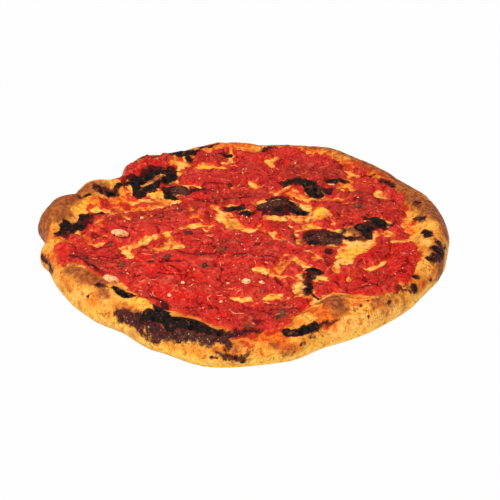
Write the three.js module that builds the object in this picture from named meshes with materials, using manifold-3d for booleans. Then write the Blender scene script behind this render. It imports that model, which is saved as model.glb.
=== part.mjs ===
// Tomato focaccia: a round flat bread about 300 mm across with an uneven raised rim, baked
// blisters, a crushed tomato topping that is torn open over the dough, garlic slices and
// herb flakes.
//
// Millimetres, +Z up. The origin is the middle of the flat underside. Angles are in degrees,
// measured in plan from +X towards +Y.

import * as THREE from "three";
import { mergeVertices } from "three/addons/utils/BufferGeometryUtils.js";
import Module from "manifold-3d";

const wasm = await Module();
wasm.setup();

// ---------------------------------------------------------------- driving dimensions

const WELL_HEIGHT = 15.5; // dough under the topping
const FOOT_INSET = 5; // from the widest outline to the edge of the underside
const WIDEST_SHARE = 0.36; // height of the widest outline as a share of the rim's crest
const WALL_ROUNDNESS = 2.2; // 2 is an ellipse, more is squarer
const FALLEN_SPREAD = 0.12; // how far a blister's fallen-in middle reaches towards its edge
const LUMPS_INSET = 8; // lumps and blisters die out over this much of the rim's outer edge

const MESH_STEP = 7.3; // usual length of a facet's edge
const RIM_STEP = 7.8; // the same, along the rim
const RIM_RINGS = [0, 0.8, 2.6, 5.5, 9.5, 14, 19, 24.5, 30]; // insets of its rings of points
const INNER_RINGS = 16; // from the last of those to the middle
const LOWER_WALL_STEPS = [30, 60, 90]; // degrees of the quarter turn from outline to foot
const UNDERSIDE_RINGS = [0.72, 0.38, 0]; // as shares of the foot's radius
const FAR_ABOVE = 60; // a height that clears everything

const TOPPING_GAP = 0.3; // between the dough and what lies on it
const TOPPING_EDGE = 1.0; // depth of the tomato at its torn edge
const TOPPING_DEPTH = 2.3; // depth of the tomato inside
const EDGE_WIDTH = 5; // over which the depth rises from one to the other
const TEAR_WIDTH = 0.8; // gap between two tomato pieces that touch
const SMALLEST_PIECE = 90; // mm3 of tomato; anything less is a stray scrap
const CUT_MARGIN = 0.1; // share of a facet's edge that the torn edge leaves on either side

// Random lumps: how far apart they lie, their height, and a seed.
const DOUGH_LUMPS = [[36, 1.3, 5], [15, 0.9, 6]];
const TOMATO_LUMPS = [[11, 0.5, 21], [5, 0.3, 22]];
const RAGGED_EDGE = [[9, 1.5, 11]];

// Radius of the widest outline at each angle: the lobes and notches of the hand-shaped rim.
const OUTLINE = [
  [-180, 146.5], [-175, 145.5], [-171, 148.5], [-165, 143.5], [-149, 141.5], [-138, 140],
  [-127, 137], [-113, 143.5], [-98, 150.5], [-79, 146.5], [-65, 139], [-48, 140.5], [-30, 143.5],
  [-12, 150], [5, 154.5], [19, 155], [32, 150], [49, 153], [62, 156.5], [74, 149], [84, 145],
  [98, 150], [113, 141], [119, 142], [124, 147], [132, 142], [140, 128.5], [146, 132], [153, 144],
  [159, 142.5], [165, 154.5], [172, 155.5],
];

// Rim at each angle: crest height, crest's inset from the outline, width of the inner slope.
const RIM = [
  [-176, 22, 13, 18], [-150, 23, 15, 17], [-128, 22, 15, 18], [-105, 21, 13, 22],
  [-88, 19, 11, 24], [-60, 22, 15, 22], [-35, 22.5, 13, 20], [-12, 22.5, 13, 15],
  [8, 23, 12, 16], [28, 22, 11, 16], [50, 21, 9, 12], [82, 20, 8, 10], [118, 21, 9, 12],
  [134, 22, 10, 16], [150, 24, 12, 20], [166, 25, 14, 22],
];

// Blisters and folds baked into the dough, and dents as negative heights:
// x, y, half length, half width, turn of the length, height, depth of a fallen-in middle.
const RELIEF = [
  [-115, 58, 18, 13, 38, 3, 0], // round lobe on the left of the rim
  [-74, 80, 29, 17, 58, 5, 2.2], // large charred blister, back left
  [-50, 64, 13, 12, 0, 3.5, 1], // its small neighbour
  [49, 74, 25, 15, -38, 5.5, 0], // long charred blister, back right
  [75, 84, 12, 7, 0, 2.5, 0],
  [27, 42, 27, 15, -10, 5, 0], // charred blister right of the middle
  [-3, 36, 14, 9, -20, 3, 0],
  [58, 30, 10, 12, 0, 3, 0], // pale bump
  [61, -7, 20, 10, 3, 3.5, 0], // charred fold, its left half
  [94, 8, 27, 13, 45, 5, 1], // and its right half
  [132, 17, 14, 11, 75, 3, 1.8], // open bubble on the right of the rim
  [63, -98, 25, 14, 82, 4.5, 0], // glazed bubble inside the front rim
  [-10, 20, 16, 16, 0, 2, 0],
  [50, -55, 8, 7, 0, 2.5, 0],
  [-30, -121, 34, 11, -14, 2.5, 0], // charred crest of the front rim
  [-66, -105, 15, 10, -30, 2.5, 0],
  [-81, -89, 11, 6, -50, -4.5, 0], // burnt pocket behind the front left rim
  [-132, 1, 19, 9, 84, -3, 0], // burnt hollow inside the left rim
  [-117, 15, 13, 7, 50, -2.5, 0],
  [38, -132, 18, 5, 14, -3.5, 0], // burnt crease in the front rim
  [137, -9, 13, 6, 80, -3, 0],
  [119, -77, 8, 5, 25, -2.5, 0],
];

// Where the tomato stops short of the outline: angle, inset from the outline.
const TOPPING_EDGE_INSETS = [
  [-178, 26], [-172, 12], [-167, 4.6], [-160, 5.6], [-152, 17], [-146, 23], [-140, 32], [-133, 29],
  [-126, 20], [-113, 29.5], [-97, 28], [-91, 18], [-77, 16], [-68, 25.5], [-61, 37], [-52, 39],
  [-48, 15.5], [-38, 8], [-30, 9.5], [-22, 12], [-12, 20], [-2, 31], [9, 33], [18, 24], [30, 18.5],
  [50, 16], [66, 13], [75, 11], [90, 16], [104, 16], [112, 17], [120, 9.5], [130, 11.5], [137, 6],
  [142, 7], [149, 27], [159, 29], [170, 38],
];

// Dough that shows through the topping: strokes from x, y to x, y with a half width.
const BARE = [
  [-34, 105, -16, 104, 5], [-53, 92, -52, 108, 3.2], [-56, 112, -47, 110, 4.5],
  [-9, 131, -9, 116, 2.8], [27, 122, 23, 112, 3.2], [-104, 54, -92, 55, 6.5],
  [-106, 48, -86, 46, 6], [-110, 32, -90, 34, 5.5], [-90, 35, -72, 38, 5], [-72, 41, -60, 43, 4],
  [-72, 60, -62, 63, 5], [-78, 50, -60, 48, 5], [-78, 56, -56, 55, 3.5], [-58, 52, -50, 48, 3.5],
  [-35, 71, -32, 69, 3], [6, 81, 9, 74, 3.6], [24, 63, 31, 62, 3.2], [33, 66, 42, 58, 5.5],
  [43, 53, 51, 50, 4], [54, 50, 74, 51, 4], [62, 57, 66, 54, 3], [77, 74, 86, 71, 4.5],
  [84, 70, 84, 65, 2.6], [82, 101, 89, 93, 3.4], [104, 62, 111, 53, 3.6],
  [58.5, 27.5, 59.5, 26, 6.2], [51, 33, 50, 22, 3], [-20, 38, -16, 24, 4],
  [-14, 24, -6, 13, 7.5], [-2, 11, 4, 4, 4.5], [3, 4, 8, 5, 3],
  [20, 24, 29, 21, 4.6], [38, 23, 44, 20, 4.2], [46, 14, 48, 4, 3.2], [50, 12, 55, 7, 5],
  [63, 5, 71, 3, 2.6], [68, 3, 68, -1, 3], [-46, 7, -32, 14, 3.6], [-31, 12, -24, 10, 3.6],
  [-40, 20, -33, 22, 3.2], [-47, 5, -56, 0, 3], [-60, -3, -72, -12, 3.2], [-72, -14, -84, -24, 3.6],
  [-54, -4, -53, -20, 4.5], [-62, -23, -46, -22, 3.4], [-49, -14, -44, -20, 2.6],
  [-80, -24, -79, -31, 3.6], [22, 1, 23, -5, 3.6], [98, 2, 92, -10, 4.4], [89, -14, 82, -24, 8.5],
  [80, -24, 75, -36, 8], [69, -41, 68.5, -51, 3.6], [103, 3, 106, 0, 2.6], [110, 6, 112, 2, 3],
  [110, -9, 122, -10, 3], [102, -39, 88, -49, 2.6], [38, -36, 42, -42, 4], [42, -44, 47, -45, 2.4],
  [52, -26, 53, -36, 3], [30, -43, 24, -52, 5.5], [12, -52, 20, -56, 3.6], [50, -64, 58, -63, 3.4],
  [40, -60, 40, -72, 4], [42, -75, 42, -86, 3.2], [48, -78, 49, -92, 3.4], [46, -88, 50, -97, 3.6],
  [-5, -88, 8, -89, 3.2], [16, -87, 24, -86, 5], [-134, -20, -126, -20, 5],
];

// Charred tops that stand bare of tomato, as strokes like the ones above.
const CHARRED = [
  [-84, 66, -67, 92, 8.5], [-64, 94, -61, 84, 6.5], [-81, 62, -70, 72, 7], [-55, 65, -46, 64, 7.5],
  [38, 79, 48, 79, 6.5], [48, 78, 56, 62, 7], [58, 66, 65, 65, 5], [69, 83, 80, 83, 5],
  [-9, 37, 2, 32, 6], [16, 44, 28, 40, 9], [30, 44, 46, 35, 8], [52, -10, 72, -10, 7.5],
  [79, 0, 90, 1, 8], [96, 16, 104, 12, 6.5], [107, 12, 110, 12, 3], [50, -55, 52, -56, 5],
  [47, -60, 45, -65, 2.6], [45, -70, 46, -79, 4.5],
];

// Edges where neighbouring tomato pieces touch: runs of x, y points.
const TEARS = [
  [[110, 6], [109, -20], [107, -33], [99, -43]],
  [[98, -43], [94, -49], [97, -62], [100, -74], [106, -100]],
  [[98, -43], [93, -49], [88, -53], [80, -58], [75, -66], [74, -78], [70, -96]],
  [[68, -48], [73, -57], [80, -60]],
  [[69, -48], [64, -55], [56, -64]],
];

// Whole tomato pieces and folds that stand up in the topping: laid out as RELIEF is.
const TOMATO_FOLDS = [
  [115, -44, 34, 16, -80, 2.4, 0], // the large piece on the right
  [92, -34, 26, 10, 40, 1.6, 0],
  [84, -72, 20, 14, -60, 2, 0],
  [62, -70, 16, 10, 70, 1.2, 0],
  [35, -54, 13, 6, 50, 1.4, 0],
  [-12, -44, 30, 8, -8, 1.2, 0],
  [-14, -26, 26, 6, 4, -1, 0],
  [-62, -50, 24, 16, 10, 1, 0],
  [-30, -80, 34, 14, -10, 1, 0],
  [-84, 12, 22, 12, -20, 1.2, 0],
  [-30, 82, 30, 12, -12, 1, 0],
  [72, 30, 22, 9, 22, 1.2, 0],
  [86, 55, 18, 14, -30, 1.2, 0],
  [8, -8, 22, 10, 0, 1, 0],
  [12, 120, 17, 9, -15, 1, 0],
];

// Garlic slices that lie loose enough to be pieces of their own:
// x, y, length, width, thickness, turn, lift of the middle over the surface.
const GARLIC = [
  [-90.3, -69, 12, 8.5, 4.5, 12, 1.4],
  [-89, -9.5, 13, 11.5, 3.8, -10, 1.5],
  [3.2, -71.5, 7, 6, 3, 20, 0.8],
];
const GARLIC_PINCH = 0.55; // how much narrower the slice is at its thin end
const GARLIC_FLATNESS = 0.6; // 1 is an oval section, less has flatter faces

// Garlic crumbs fused to the tomato: x, y, size.
const GARLIC_CRUMBS = [
  [13.8, -71, 4], [-40.5, -72.5, 3.2], [-48.7, -88, 3.5], [-9.4, -71.5, 3], [-13.5, -96.5, 3],
  [-75.5, 20.5, 3],
];

// Herb flakes fused to the tomato: x, y, length, turn.
const HERBS = [
  [-110, -43.5, 5.5, 80], [-62.7, -37, 6, 75], [-53.7, -38, 6, 0], [-64.6, -46, 5, 15],
  [-26.3, -49, 7, 85], [-13.5, -27, 8, 95], [14.5, -41.5, 5, 90], [36.8, -6.5, 4.5, 60],
  [-39.8, -4.5, 6.5, 5], [-47, 30.5, 5, 80], [-67.5, 23.5, 6, 0], [13.5, -80, 5, 70],
  [26, -112, 9, 50], [5, -127, 8, 0], [-95.5, -20, 5, 90], [88, 34.5, 7, 70], [20.5, -19, 4, 0],
  [36, 89, 5, 20], [72, 92.5, 4.5, 10], [-5, 52, 6, 20], [-85, -48, 6, 80], [-22, 58.5, 5, 0],
  [-12, 74.5, 4.5, 40],
];
const SCATTERED_HERBS = 6; // further flakes at places drawn at random
const SCATTER_RADIUS = 108;
const SCATTER_SEED = 31;
const SCATTER_LENGTHS = [3, 5];
const FLAKE_WIDTH = 0.55; // share of the flake's length
const FLAKE_THICKNESS = 1.3;
const CRUMB_SHAPE = [1, 0.8, 0.7]; // length, width and thickness as shares of the size
const GRAIN_LIFT = 0.15; // of a flake's or crumb's middle over the tomato
const GRAIN_MARGIN = 1.2; // tomato left free all round a flake or crumb
const SEATED = 0.25; // least share of a flake or crumb that is sunk in the tomato

// ---------------------------------------------------------------- numbers by place

const radians = THREE.MathUtils.degToRad;

function smooth(t) {
  const u = THREE.MathUtils.clamp(t, 0, 1);
  return u * u * (3 - 2 * u);
}

// Value of a column at an angle, in a table of angles that closes on itself.
function periodic(table, column, angle) {
  const start = table[0][0];
  const turned = start + THREE.MathUtils.euclideanModulo(angle - start, 360);
  const next = table.findIndex((row) => row[0] > turned);
  const after = next < 0 ? table.length : next;
  const low = table[after - 1];
  const high = table[after % table.length];
  const highAngle = after === table.length ? start + 360 : high[0];
  const share = smooth((turned - low[0]) / (highAngle - low[0]));
  return low[column] + (high[column] - low[column]) * share;
}

// A repeatable number from 0 to 1 for a whole-numbered place.
function scatter(column, row, seed) {
  const mixed =
    Math.imul(column, 374761393) + Math.imul(row, 668265263) + Math.imul(seed, 1274126177);
  const stirred = Math.imul(mixed ^ (mixed >>> 13), 1274126177);
  return ((stirred ^ (stirred >>> 16)) >>> 0) / 4294967296;
}

// Soft lumps from -1 to 1, about one unit of x and y across.
function noise(x, y, seed) {
  const column = Math.floor(x);
  const row = Math.floor(y);
  const ease = (t) => t * t * t * (t * (t * 6 - 15) + 10);
  const across = ease(x - column);
  const along = ease(y - row);
  const near = THREE.MathUtils.lerp(scatter(column, row, seed), scatter(column + 1, row, seed), across);
  const far = THREE.MathUtils.lerp(
    scatter(column, row + 1, seed), scatter(column + 1, row + 1, seed), across,
  );
  return 2 * THREE.MathUtils.lerp(near, far, along) - 1;
}

// Height that a list of random lumps adds at a place.
function lumpsAt(list, x, y) {
  return list.reduce((sum, [apart, height, seed]) => sum + height * noise(x / apart, y / apart, seed), 0);
}

// Height that a list of oval domes and dents adds at a place.
function reliefAt(list, x, y) {
  let height = 0;
  for (const [centreX, centreY, halfLength, halfWidth, turn, rise, fallen] of list) {
    const cos = Math.cos(radians(turn));
    const sin = Math.sin(radians(turn));
    const along = ((x - centreX) * cos + (y - centreY) * sin) / halfLength;
    const across = ((y - centreY) * cos - (x - centreX) * sin) / halfWidth;
    const reach = along * along + across * across;
    if (reach < 1) {
      height += rise * (1 - reach) ** 2 - fallen * Math.exp(-reach / FALLEN_SPREAD) * (1 - reach);
    }
  }
  return height;
}

// Distance from a place to the nearest edge of a list of strokes, negative inside one.
function strokeDistance(list, x, y) {
  let nearest = Infinity;
  for (const [startX, startY, endX, endY, halfWidth] of list) {
    const runX = endX - startX;
    const runY = endY - startY;
    const run = runX * runX + runY * runY;
    const share = THREE.MathUtils.clamp(((x - startX) * runX + (y - startY) * runY) / run, 0, 1);
    const distance = Math.hypot(x - startX - share * runX, y - startY - share * runY);
    nearest = Math.min(nearest, distance - halfWidth);
  }
  return nearest;
}

// ---------------------------------------------------------------- surfaces

const angleAt = (x, y) => THREE.MathUtils.radToDeg(Math.atan2(y, x));
const outlineAt = (angle) => periodic(OUTLINE, 1, angle);
const insetAt = (x, y) => outlineAt(angleAt(x, y)) - Math.hypot(x, y);

// Top of the dough: a round wall up to the rim's crest, then an easy slope down to the well.
function doughTop(x, y) {
  const angle = angleAt(x, y);
  const inset = insetAt(x, y);
  const crest = periodic(RIM, 1, angle);
  const crestInset = periodic(RIM, 2, angle);
  const slope = periodic(RIM, 3, angle);
  const widest = WIDEST_SHARE * crest;
  const outward = THREE.MathUtils.clamp((crestInset - inset) / crestInset, 0, 1);
  const wall = widest + (crest - widest) * Math.sqrt(1 - outward ** WALL_ROUNDNESS);
  const inside = crest + (WELL_HEIGHT - crest) * smooth((inset - crestInset) / slope);
  const uneven = lumpsAt(DOUGH_LUMPS, x, y) + reliefAt(RELIEF, x, y);
  const onTop = THREE.MathUtils.clamp(inset / LUMPS_INSET, 0, 1);
  return (inset < crestInset ? wall : inside) + uneven * onTop;
}

// Distance inwards from the tomato's torn edge, negative where the dough is bare.
function toppingCover(x, y) {
  const fromRim = insetAt(x, y) - periodic(TOPPING_EDGE_INSETS, 1, angleAt(x, y));
  const fromDough = strokeDistance(BARE, x, y);
  const fromChar = strokeDistance(CHARRED, x, y);
  return Math.min(fromRim, fromDough, fromChar) + lumpsAt(RAGGED_EDGE, x, y);
}

// Depth of the tomato at a place that it covers.
function toppingDepth(x, y) {
  const within = smooth(toppingCover(x, y) / EDGE_WIDTH);
  const inside = TOPPING_DEPTH + lumpsAt(TOMATO_LUMPS, x, y) + reliefAt(TOMATO_FOLDS, x, y);
  return TOPPING_EDGE + Math.max(inside - TOPPING_EDGE, 0) * within;
}

// ---------------------------------------------------------------- meshes

// The points of the top, in rings that follow the outline, from the rim to the middle.
function topRings() {
  const lastInset = RIM_RINGS[RIM_RINGS.length - 1];
  const rings = RIM_RINGS.map((inset) => ringAt((angle) => outlineAt(angle) - inset, RIM_STEP));
  for (let ring = 1; ring < INNER_RINGS; ring += 1) {
    const share = 1 - ring / INNER_RINGS;
    rings.push(ringAt((angle) => (outlineAt(angle) - lastInset) * share, MESH_STEP));
  }
  rings.push([[0, 0]]);
  return rings;
}

// One ring of points, evenly spaced in angle, about a step apart.
function ringAt(radiusAt, step) {
  const count = Math.round((2 * Math.PI * radiusAt(0)) / step);
  const ring = [];
  for (let place = 0; place < count; place += 1) {
    const angle = (360 * place) / count - 180;
    ring.push([radiusAt(angle) * Math.cos(radians(angle)), radiusAt(angle) * Math.sin(radians(angle))]);
  }
  return ring;
}

// Triangles between an outer and an inner ring of other lengths, seen from above.
function stitch(outerStart, outerCount, innerStart, innerCount) {
  const triangles = [];
  let outer = 0;
  let inner = 0;
  while (outer < outerCount || (inner < innerCount && innerCount > 1)) {
    const outerHere = outerStart + (outer % outerCount);
    const innerHere = innerStart + (inner % innerCount);
    const innerDone = innerCount === 1 || inner === innerCount;
    if (innerDone || (outer < outerCount && (outer + 0.5) / outerCount <= (inner + 0.5) / innerCount)) {
      triangles.push([outerHere, outerStart + ((outer + 1) % outerCount), innerHere]);
      outer += 1;
    } else {
      triangles.push([outerHere, innerStart + ((inner + 1) % innerCount), innerHere]);
      inner += 1;
    }
  }
  return triangles;
}

// Stitches rings of points into one sheet.
function sheet(rings) {
  const points = rings.flat();
  const triangles = [];
  let start = 0;
  for (let ring = 0; ring + 1 < rings.length; ring += 1) {
    const count = rings[ring].length;
    triangles.push(...stitch(start, count, start + count, rings[ring + 1].length));
    start += count;
  }
  return { points, triangles };
}

function geometryFrom(points, triangles) {
  const geometry = new THREE.BufferGeometry();
  geometry.setAttribute("position", new THREE.Float32BufferAttribute(points.flat(), 3));
  geometry.setIndex(triangles.flat());
  geometry.computeVertexNormals();
  return geometry;
}

const rings = topRings();
const top = sheet(rings);
const topHeights = top.points.map(([x, y]) => doughTop(x, y));

// A whole bread with its top at the heights given: that top, the lower wall that curves in to
// the foot, and the flat underside.
function breadGeometry(heights) {
  const points = top.points.map(([x, y], place) => [x, y, heights[place]]);
  const edge = points.slice(0, rings[0].length);
  const lower = LOWER_WALL_STEPS.map((step) =>
    edge.map(([x, y, height]) => {
      const radius = Math.hypot(x, y);
      const share = (radius - FOOT_INSET * (1 - Math.cos(radians(step)))) / radius;
      return [x * share, y * share, height * (1 - Math.sin(radians(step)))];
    }),
  );
  const foot = lower[lower.length - 1];
  const underside = UNDERSIDE_RINGS.map((share) => {
    const keep = share === 0 ? foot.length : Math.round(1 / share);
    return foot.filter((_, place) => place % keep === 0).map(([x, y]) => [x * share, y * share, 0]);
  });
  const below = sheet([edge, ...lower, ...underside]);
  const shift = points.length - edge.length;
  const toWhole = (index) => (index < edge.length ? index : index + shift);
  points.push(...below.points.slice(edge.length));
  const turned = below.triangles.map(([a, b, c]) => [toWhole(a), toWhole(c), toWhole(b)]);
  return geometryFrom(points, [...top.triangles, ...turned]);
}

// The tomato layer as one closed skin: the top sheet cut along the torn edge, its copy on the
// dough below, and upright strips between the two.
function toppingGeometry() {
  const cover = top.points.map(([x, y]) => toppingCover(x, y));
  const points = [];
  const numbers = new Map();
  const vertex = (key, x, y, height, depth) => {
    if (!numbers.has(key)) {
      numbers.set(key, points.length);
      points.push([x, y, height + TOPPING_GAP + depth], [x, y, height + TOPPING_GAP]);
    }
    return numbers.get(key);
  };
  const corner = (index) => {
    const [x, y] = top.points[index];
    return vertex(`${index}`, x, y, topHeights[index], toppingDepth(x, y));
  };
  const crossing = (one, other) => {
    const [from, to] = one < other ? [one, other] : [other, one];
    const share = THREE.MathUtils.clamp(cover[from] / (cover[from] - cover[to]), CUT_MARGIN, 1 - CUT_MARGIN);
    const between = (a, b) => a + (b - a) * share;
    const [fromX, fromY] = top.points[from];
    const [toX, toY] = top.points[to];
    const height = between(topHeights[from], topHeights[to]);
    return vertex(`${from} ${to}`, between(fromX, toX), between(fromY, toY), height, TOPPING_EDGE);
  };
  const triangles = [];
  for (const triangle of top.triangles) {
    const polygon = [];
    const edge = [];
    for (let side = 0; side < 3; side += 1) {
      const here = triangle[side];
      const next = triangle[(side + 1) % 3];
      if (cover[here] > 0) {
        polygon.push(corner(here));
      }
      if (cover[here] > 0 !== cover[next] > 0) {
        polygon.push(crossing(here, next));
        edge[cover[here] > 0 ? 0 : 1] = crossing(here, next);
      }
    }
    for (let place = 2; place < polygon.length; place += 1) {
      const [a, b, c] = [polygon[0], polygon[place - 1], polygon[place]];
      triangles.push([a, b, c], [a + 1, c + 1, b + 1]);
    }
    if (edge.length === 2) {
      const [leave, enter] = edge;
      triangles.push([enter, leave, leave + 1], [enter, leave + 1, enter + 1]);
    }
  }
  return geometryFrom(points, triangles);
}

// ---------------------------------------------------------------- solids

function solidFrom(geometry) {
  const bare = geometry.clone();
  bare.deleteAttribute("normal");
  bare.deleteAttribute("uv");
  const merged = mergeVertices(bare);
  const vertProperties = new Float32Array(merged.attributes.position.array);
  const triVerts = new Uint32Array(merged.index.array);
  return new wasm.Manifold(new wasm.Mesh({ numProp: 3, vertProperties, triVerts }));
}

function geometryOf(solid) {
  const { vertProperties, triVerts } = solid.getMesh();
  const geometry = new THREE.BufferGeometry();
  geometry.setAttribute("position", new THREE.BufferAttribute(vertProperties, 3));
  geometry.setIndex(new THREE.BufferAttribute(triVerts, 1));
  geometry.computeVertexNormals();
  return geometry;
}

// The uppermost point of the dough or the tomato at a place, and the facet it lies on.
const bread = breadGeometry(topHeights);
const topping = toppingGeometry();
const grounds = [new THREE.Mesh(bread), new THREE.Mesh(topping)];

function groundAt(x, y) {
  const above = new THREE.Vector3(x, y, FAR_ABOVE);
  const down = new THREE.Vector3(0, 0, -1);
  return new THREE.Raycaster(above, down).intersectObjects(grounds)[0];
}

// Places a shape on the ground, leaning with it, turned and lifted.
function layOnGround(geometry, x, y, turn, lift) {
  const { point, face } = groundAt(x, y);
  const lean = new THREE.Quaternion().setFromUnitVectors(new THREE.Vector3(0, 0, 1), face.normal);
  geometry.rotateZ(radians(turn));
  geometry.applyQuaternion(lean);
  geometry.translate(x, y, point.z + lift);
  return geometry;
}

function flakeGeometry(x, y, length, turn) {
  const flake = new THREE.SphereGeometry(0.5, 5, 3);
  flake.scale(length, length * FLAKE_WIDTH, FLAKE_THICKNESS);
  return layOnGround(flake, x, y, turn, GRAIN_LIFT);
}

function crumbGeometry(x, y, size) {
  const crumb = new THREE.IcosahedronGeometry(size / 2, 0);
  crumb.scale(...CRUMB_SHAPE);
  return layOnGround(crumb, x, y, x + y, GRAIN_LIFT);
}

// A garlic slice: a flattened clove section, fuller at one end and pinched at the other, with
// all its sides moved out by the growth.
function garlicGeometry([x, y, length, width, thickness, turn, lift], growth) {
  const slice = new THREE.SphereGeometry(0.5, 12, 7);
  slice.rotateX(Math.PI / 2);
  const places = slice.attributes.position;
  for (let index = 0; index < places.count; index += 1) {
    const along = places.getX(index);
    const pinch = 1 - GARLIC_PINCH * Math.max(along, 0);
    const height = places.getZ(index);
    const flattened = Math.sign(height) * Math.abs(2 * height) ** GARLIC_FLATNESS / 2;
    places.setX(index, along * (length + 2 * growth));
    places.setY(index, places.getY(index) * (width * pinch + 2 * growth));
    places.setZ(index, flattened * (thickness + 2 * growth));
  }
  return layOnGround(slice, x, y, turn, lift);
}

// A tall thin wall along a run of points, which parts the tomato.
function tearGeometry(run) {
  const path = run.map(([x, y]) => new THREE.Vector2(x, y));
  const side = (place) => {
    const before = path[Math.max(place - 1, 0)];
    const after = path[Math.min(place + 1, path.length - 1)];
    const along = after.clone().sub(before).normalize();
    return new THREE.Vector2(-along.y, along.x).multiplyScalar(TEAR_WIDTH / 2);
  };
  const left = path.map((point, place) => point.clone().add(side(place)));
  const right = path.map((point, place) => point.clone().sub(side(place)));
  const shape = new THREE.Shape([...left, ...right.reverse()]);
  return new THREE.ExtrudeGeometry(shape, { depth: FAR_ABOVE, bevelEnabled: false });
}

// Tomato pieces, largest first, with the herbs and garlic crumbs that stick to them.
function tomatoPieces() {
  let layer = solidFrom(topping);
  for (const run of TEARS) {
    layer = layer.subtract(solidFrom(tearGeometry(run)));
  }
  for (const slice of GARLIC) {
    layer = layer.subtract(solidFrom(garlicGeometry(slice, TOPPING_GAP)));
  }
  const pieces = layer
    .decompose()
    .filter((piece) => piece.volume() > SMALLEST_PIECE)
    .sort((one, other) => other.volume() - one.volume());
  season(pieces);
  return pieces;
}

// Fuses herb flakes and garlic crumbs to the pieces, wherever tomato lies under the whole of one.
function season(pieces) {
  const placed = GARLIC.map(([x, y, length]) => [x, y, length]);
  const fits = (x, y, size) =>
    toppingCover(x, y) > size / 2 + GRAIN_MARGIN &&
    TEARS.every((run) => tearDistance(run, x, y) > size / 2 + GRAIN_MARGIN) &&
    placed.every(
      ([otherX, otherY, other]) => Math.hypot(x - otherX, y - otherY) > (size + other) / 2 + GRAIN_MARGIN,
    );
  const fuse = (x, y, size, makeGeometry) => {
    if (!fits(x, y, size)) {
      return;
    }
    const grain = solidFrom(makeGeometry());
    const host = pieces.findIndex((piece) => piece.intersect(grain).volume() > SEATED * grain.volume());
    if (host >= 0) {
      placed.push([x, y, size]);
      pieces[host] = pieces[host].add(grain);
    }
  };
  for (const [x, y, size] of GARLIC_CRUMBS) {
    fuse(x, y, size, () => crumbGeometry(x, y, size));
  }
  for (const [x, y, length, turn] of HERBS) {
    fuse(x, y, length, () => flakeGeometry(x, y, length, turn));
  }
  const listed = placed.length;
  for (let draw = 0; placed.length < listed + SCATTERED_HERBS; draw += 1) {
    const radius = SCATTER_RADIUS * Math.sqrt(scatter(draw, 1, SCATTER_SEED));
    const angle = 2 * Math.PI * scatter(draw, 2, SCATTER_SEED);
    const length = THREE.MathUtils.lerp(...SCATTER_LENGTHS, scatter(draw, 3, SCATTER_SEED));
    const turn = 180 * scatter(draw, 4, SCATTER_SEED);
    const x = radius * Math.cos(angle);
    const y = radius * Math.sin(angle);
    fuse(x, y, length, () => flakeGeometry(x, y, length, turn));
  }
}

// Distance from a place to the nearest edge of a tear.
function tearDistance(run, x, y) {
  const strokes = run.slice(1).map((point, place) => [...run[place], ...point, TEAR_WIDTH / 2]);
  return strokeDistance(strokes, x, y);
}

// ---------------------------------------------------------------- the focaccia

const crust = new THREE.MeshStandardMaterial({ color: 0xe0a050, roughness: 0.75, metalness: 0 });
const tomato = new THREE.MeshStandardMaterial({ color: 0xc8392b, roughness: 0.4, metalness: 0 });
const garlic = new THREE.MeshStandardMaterial({ color: 0xf3dcae, roughness: 0.5, metalness: 0 });

function named(name, geometry, material) {
  const mesh = new THREE.Mesh(geometry, material);
  mesh.name = name;
  return mesh;
}

const focaccia = new THREE.Group();
focaccia.add(named("bread", bread, crust));

tomatoPieces().forEach((piece, place) => {
  const name = place === 0 ? "tomato_bed" : `tomato_piece_${place}`;
  focaccia.add(named(name, geometryOf(piece), tomato));
});

// Each garlic slice is cut to the shape of the dough under it, a gap above it.
const raised = solidFrom(breadGeometry(topHeights.map((height) => height + TOPPING_GAP)));
GARLIC.forEach((slice, place) => {
  const cut = solidFrom(garlicGeometry(slice, 0)).subtract(raised);
  focaccia.add(named(`garlic_${place + 1}`, geometryOf(cut), garlic));
});

export default focaccia;
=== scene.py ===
"""Looks of the tomato focaccia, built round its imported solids.

Lengths in the tables are millimetres in the model's own frame, +Z up, and angles are degrees from
+X towards +Y. The form repeats the named sizes of the solids, on a finer mesh with finer relief.
"""

import math

import bpy
import numpy as np
from mathutils import Matrix, Vector


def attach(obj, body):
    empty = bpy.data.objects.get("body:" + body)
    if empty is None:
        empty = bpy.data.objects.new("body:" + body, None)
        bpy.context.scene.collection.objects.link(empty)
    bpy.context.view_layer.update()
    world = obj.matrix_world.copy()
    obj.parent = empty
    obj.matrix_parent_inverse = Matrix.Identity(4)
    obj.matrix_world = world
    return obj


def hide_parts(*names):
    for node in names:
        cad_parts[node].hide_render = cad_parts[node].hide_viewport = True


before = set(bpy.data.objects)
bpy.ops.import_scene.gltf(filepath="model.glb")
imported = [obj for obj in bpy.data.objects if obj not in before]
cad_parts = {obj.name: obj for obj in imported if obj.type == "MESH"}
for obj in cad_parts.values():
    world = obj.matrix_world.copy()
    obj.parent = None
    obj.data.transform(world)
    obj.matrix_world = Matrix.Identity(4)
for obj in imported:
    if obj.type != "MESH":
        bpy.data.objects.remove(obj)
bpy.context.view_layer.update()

MM = 0.001

# ---------------------------------------------------------------- the form, as in the solids

WELL_HEIGHT = 15.5
FOOT_INSET = 5
WIDEST_SHARE = 0.36  # the side is widest at this share of the crest's height
WALL_ROUNDNESS = 2.2  # 2 is an oval wall, more is squarer
FALLEN_SPREAD = 0.12  # how wide the fallen-in middle of a blister is
LUMPS_INSET = 8  # lumps fade out over this much towards the outline

TOPPING_GAP = 0.3
TOPPING_DEPTH = 2.3
TEAR_WIDTH = 0.8

# How far places are shifted for torn edges.
EDGE_TORN, FOLDS_TORN, CREASES_TORN = 2.2, 2.4, 1.6
MARKS_TORN, TINTS_TORN = 1.7, 2.0

# The scraps that the crushed tomato is made of, and the bits in them.
SCRAP_SIZE, BIT_SIZE = 15, 5.2

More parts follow.
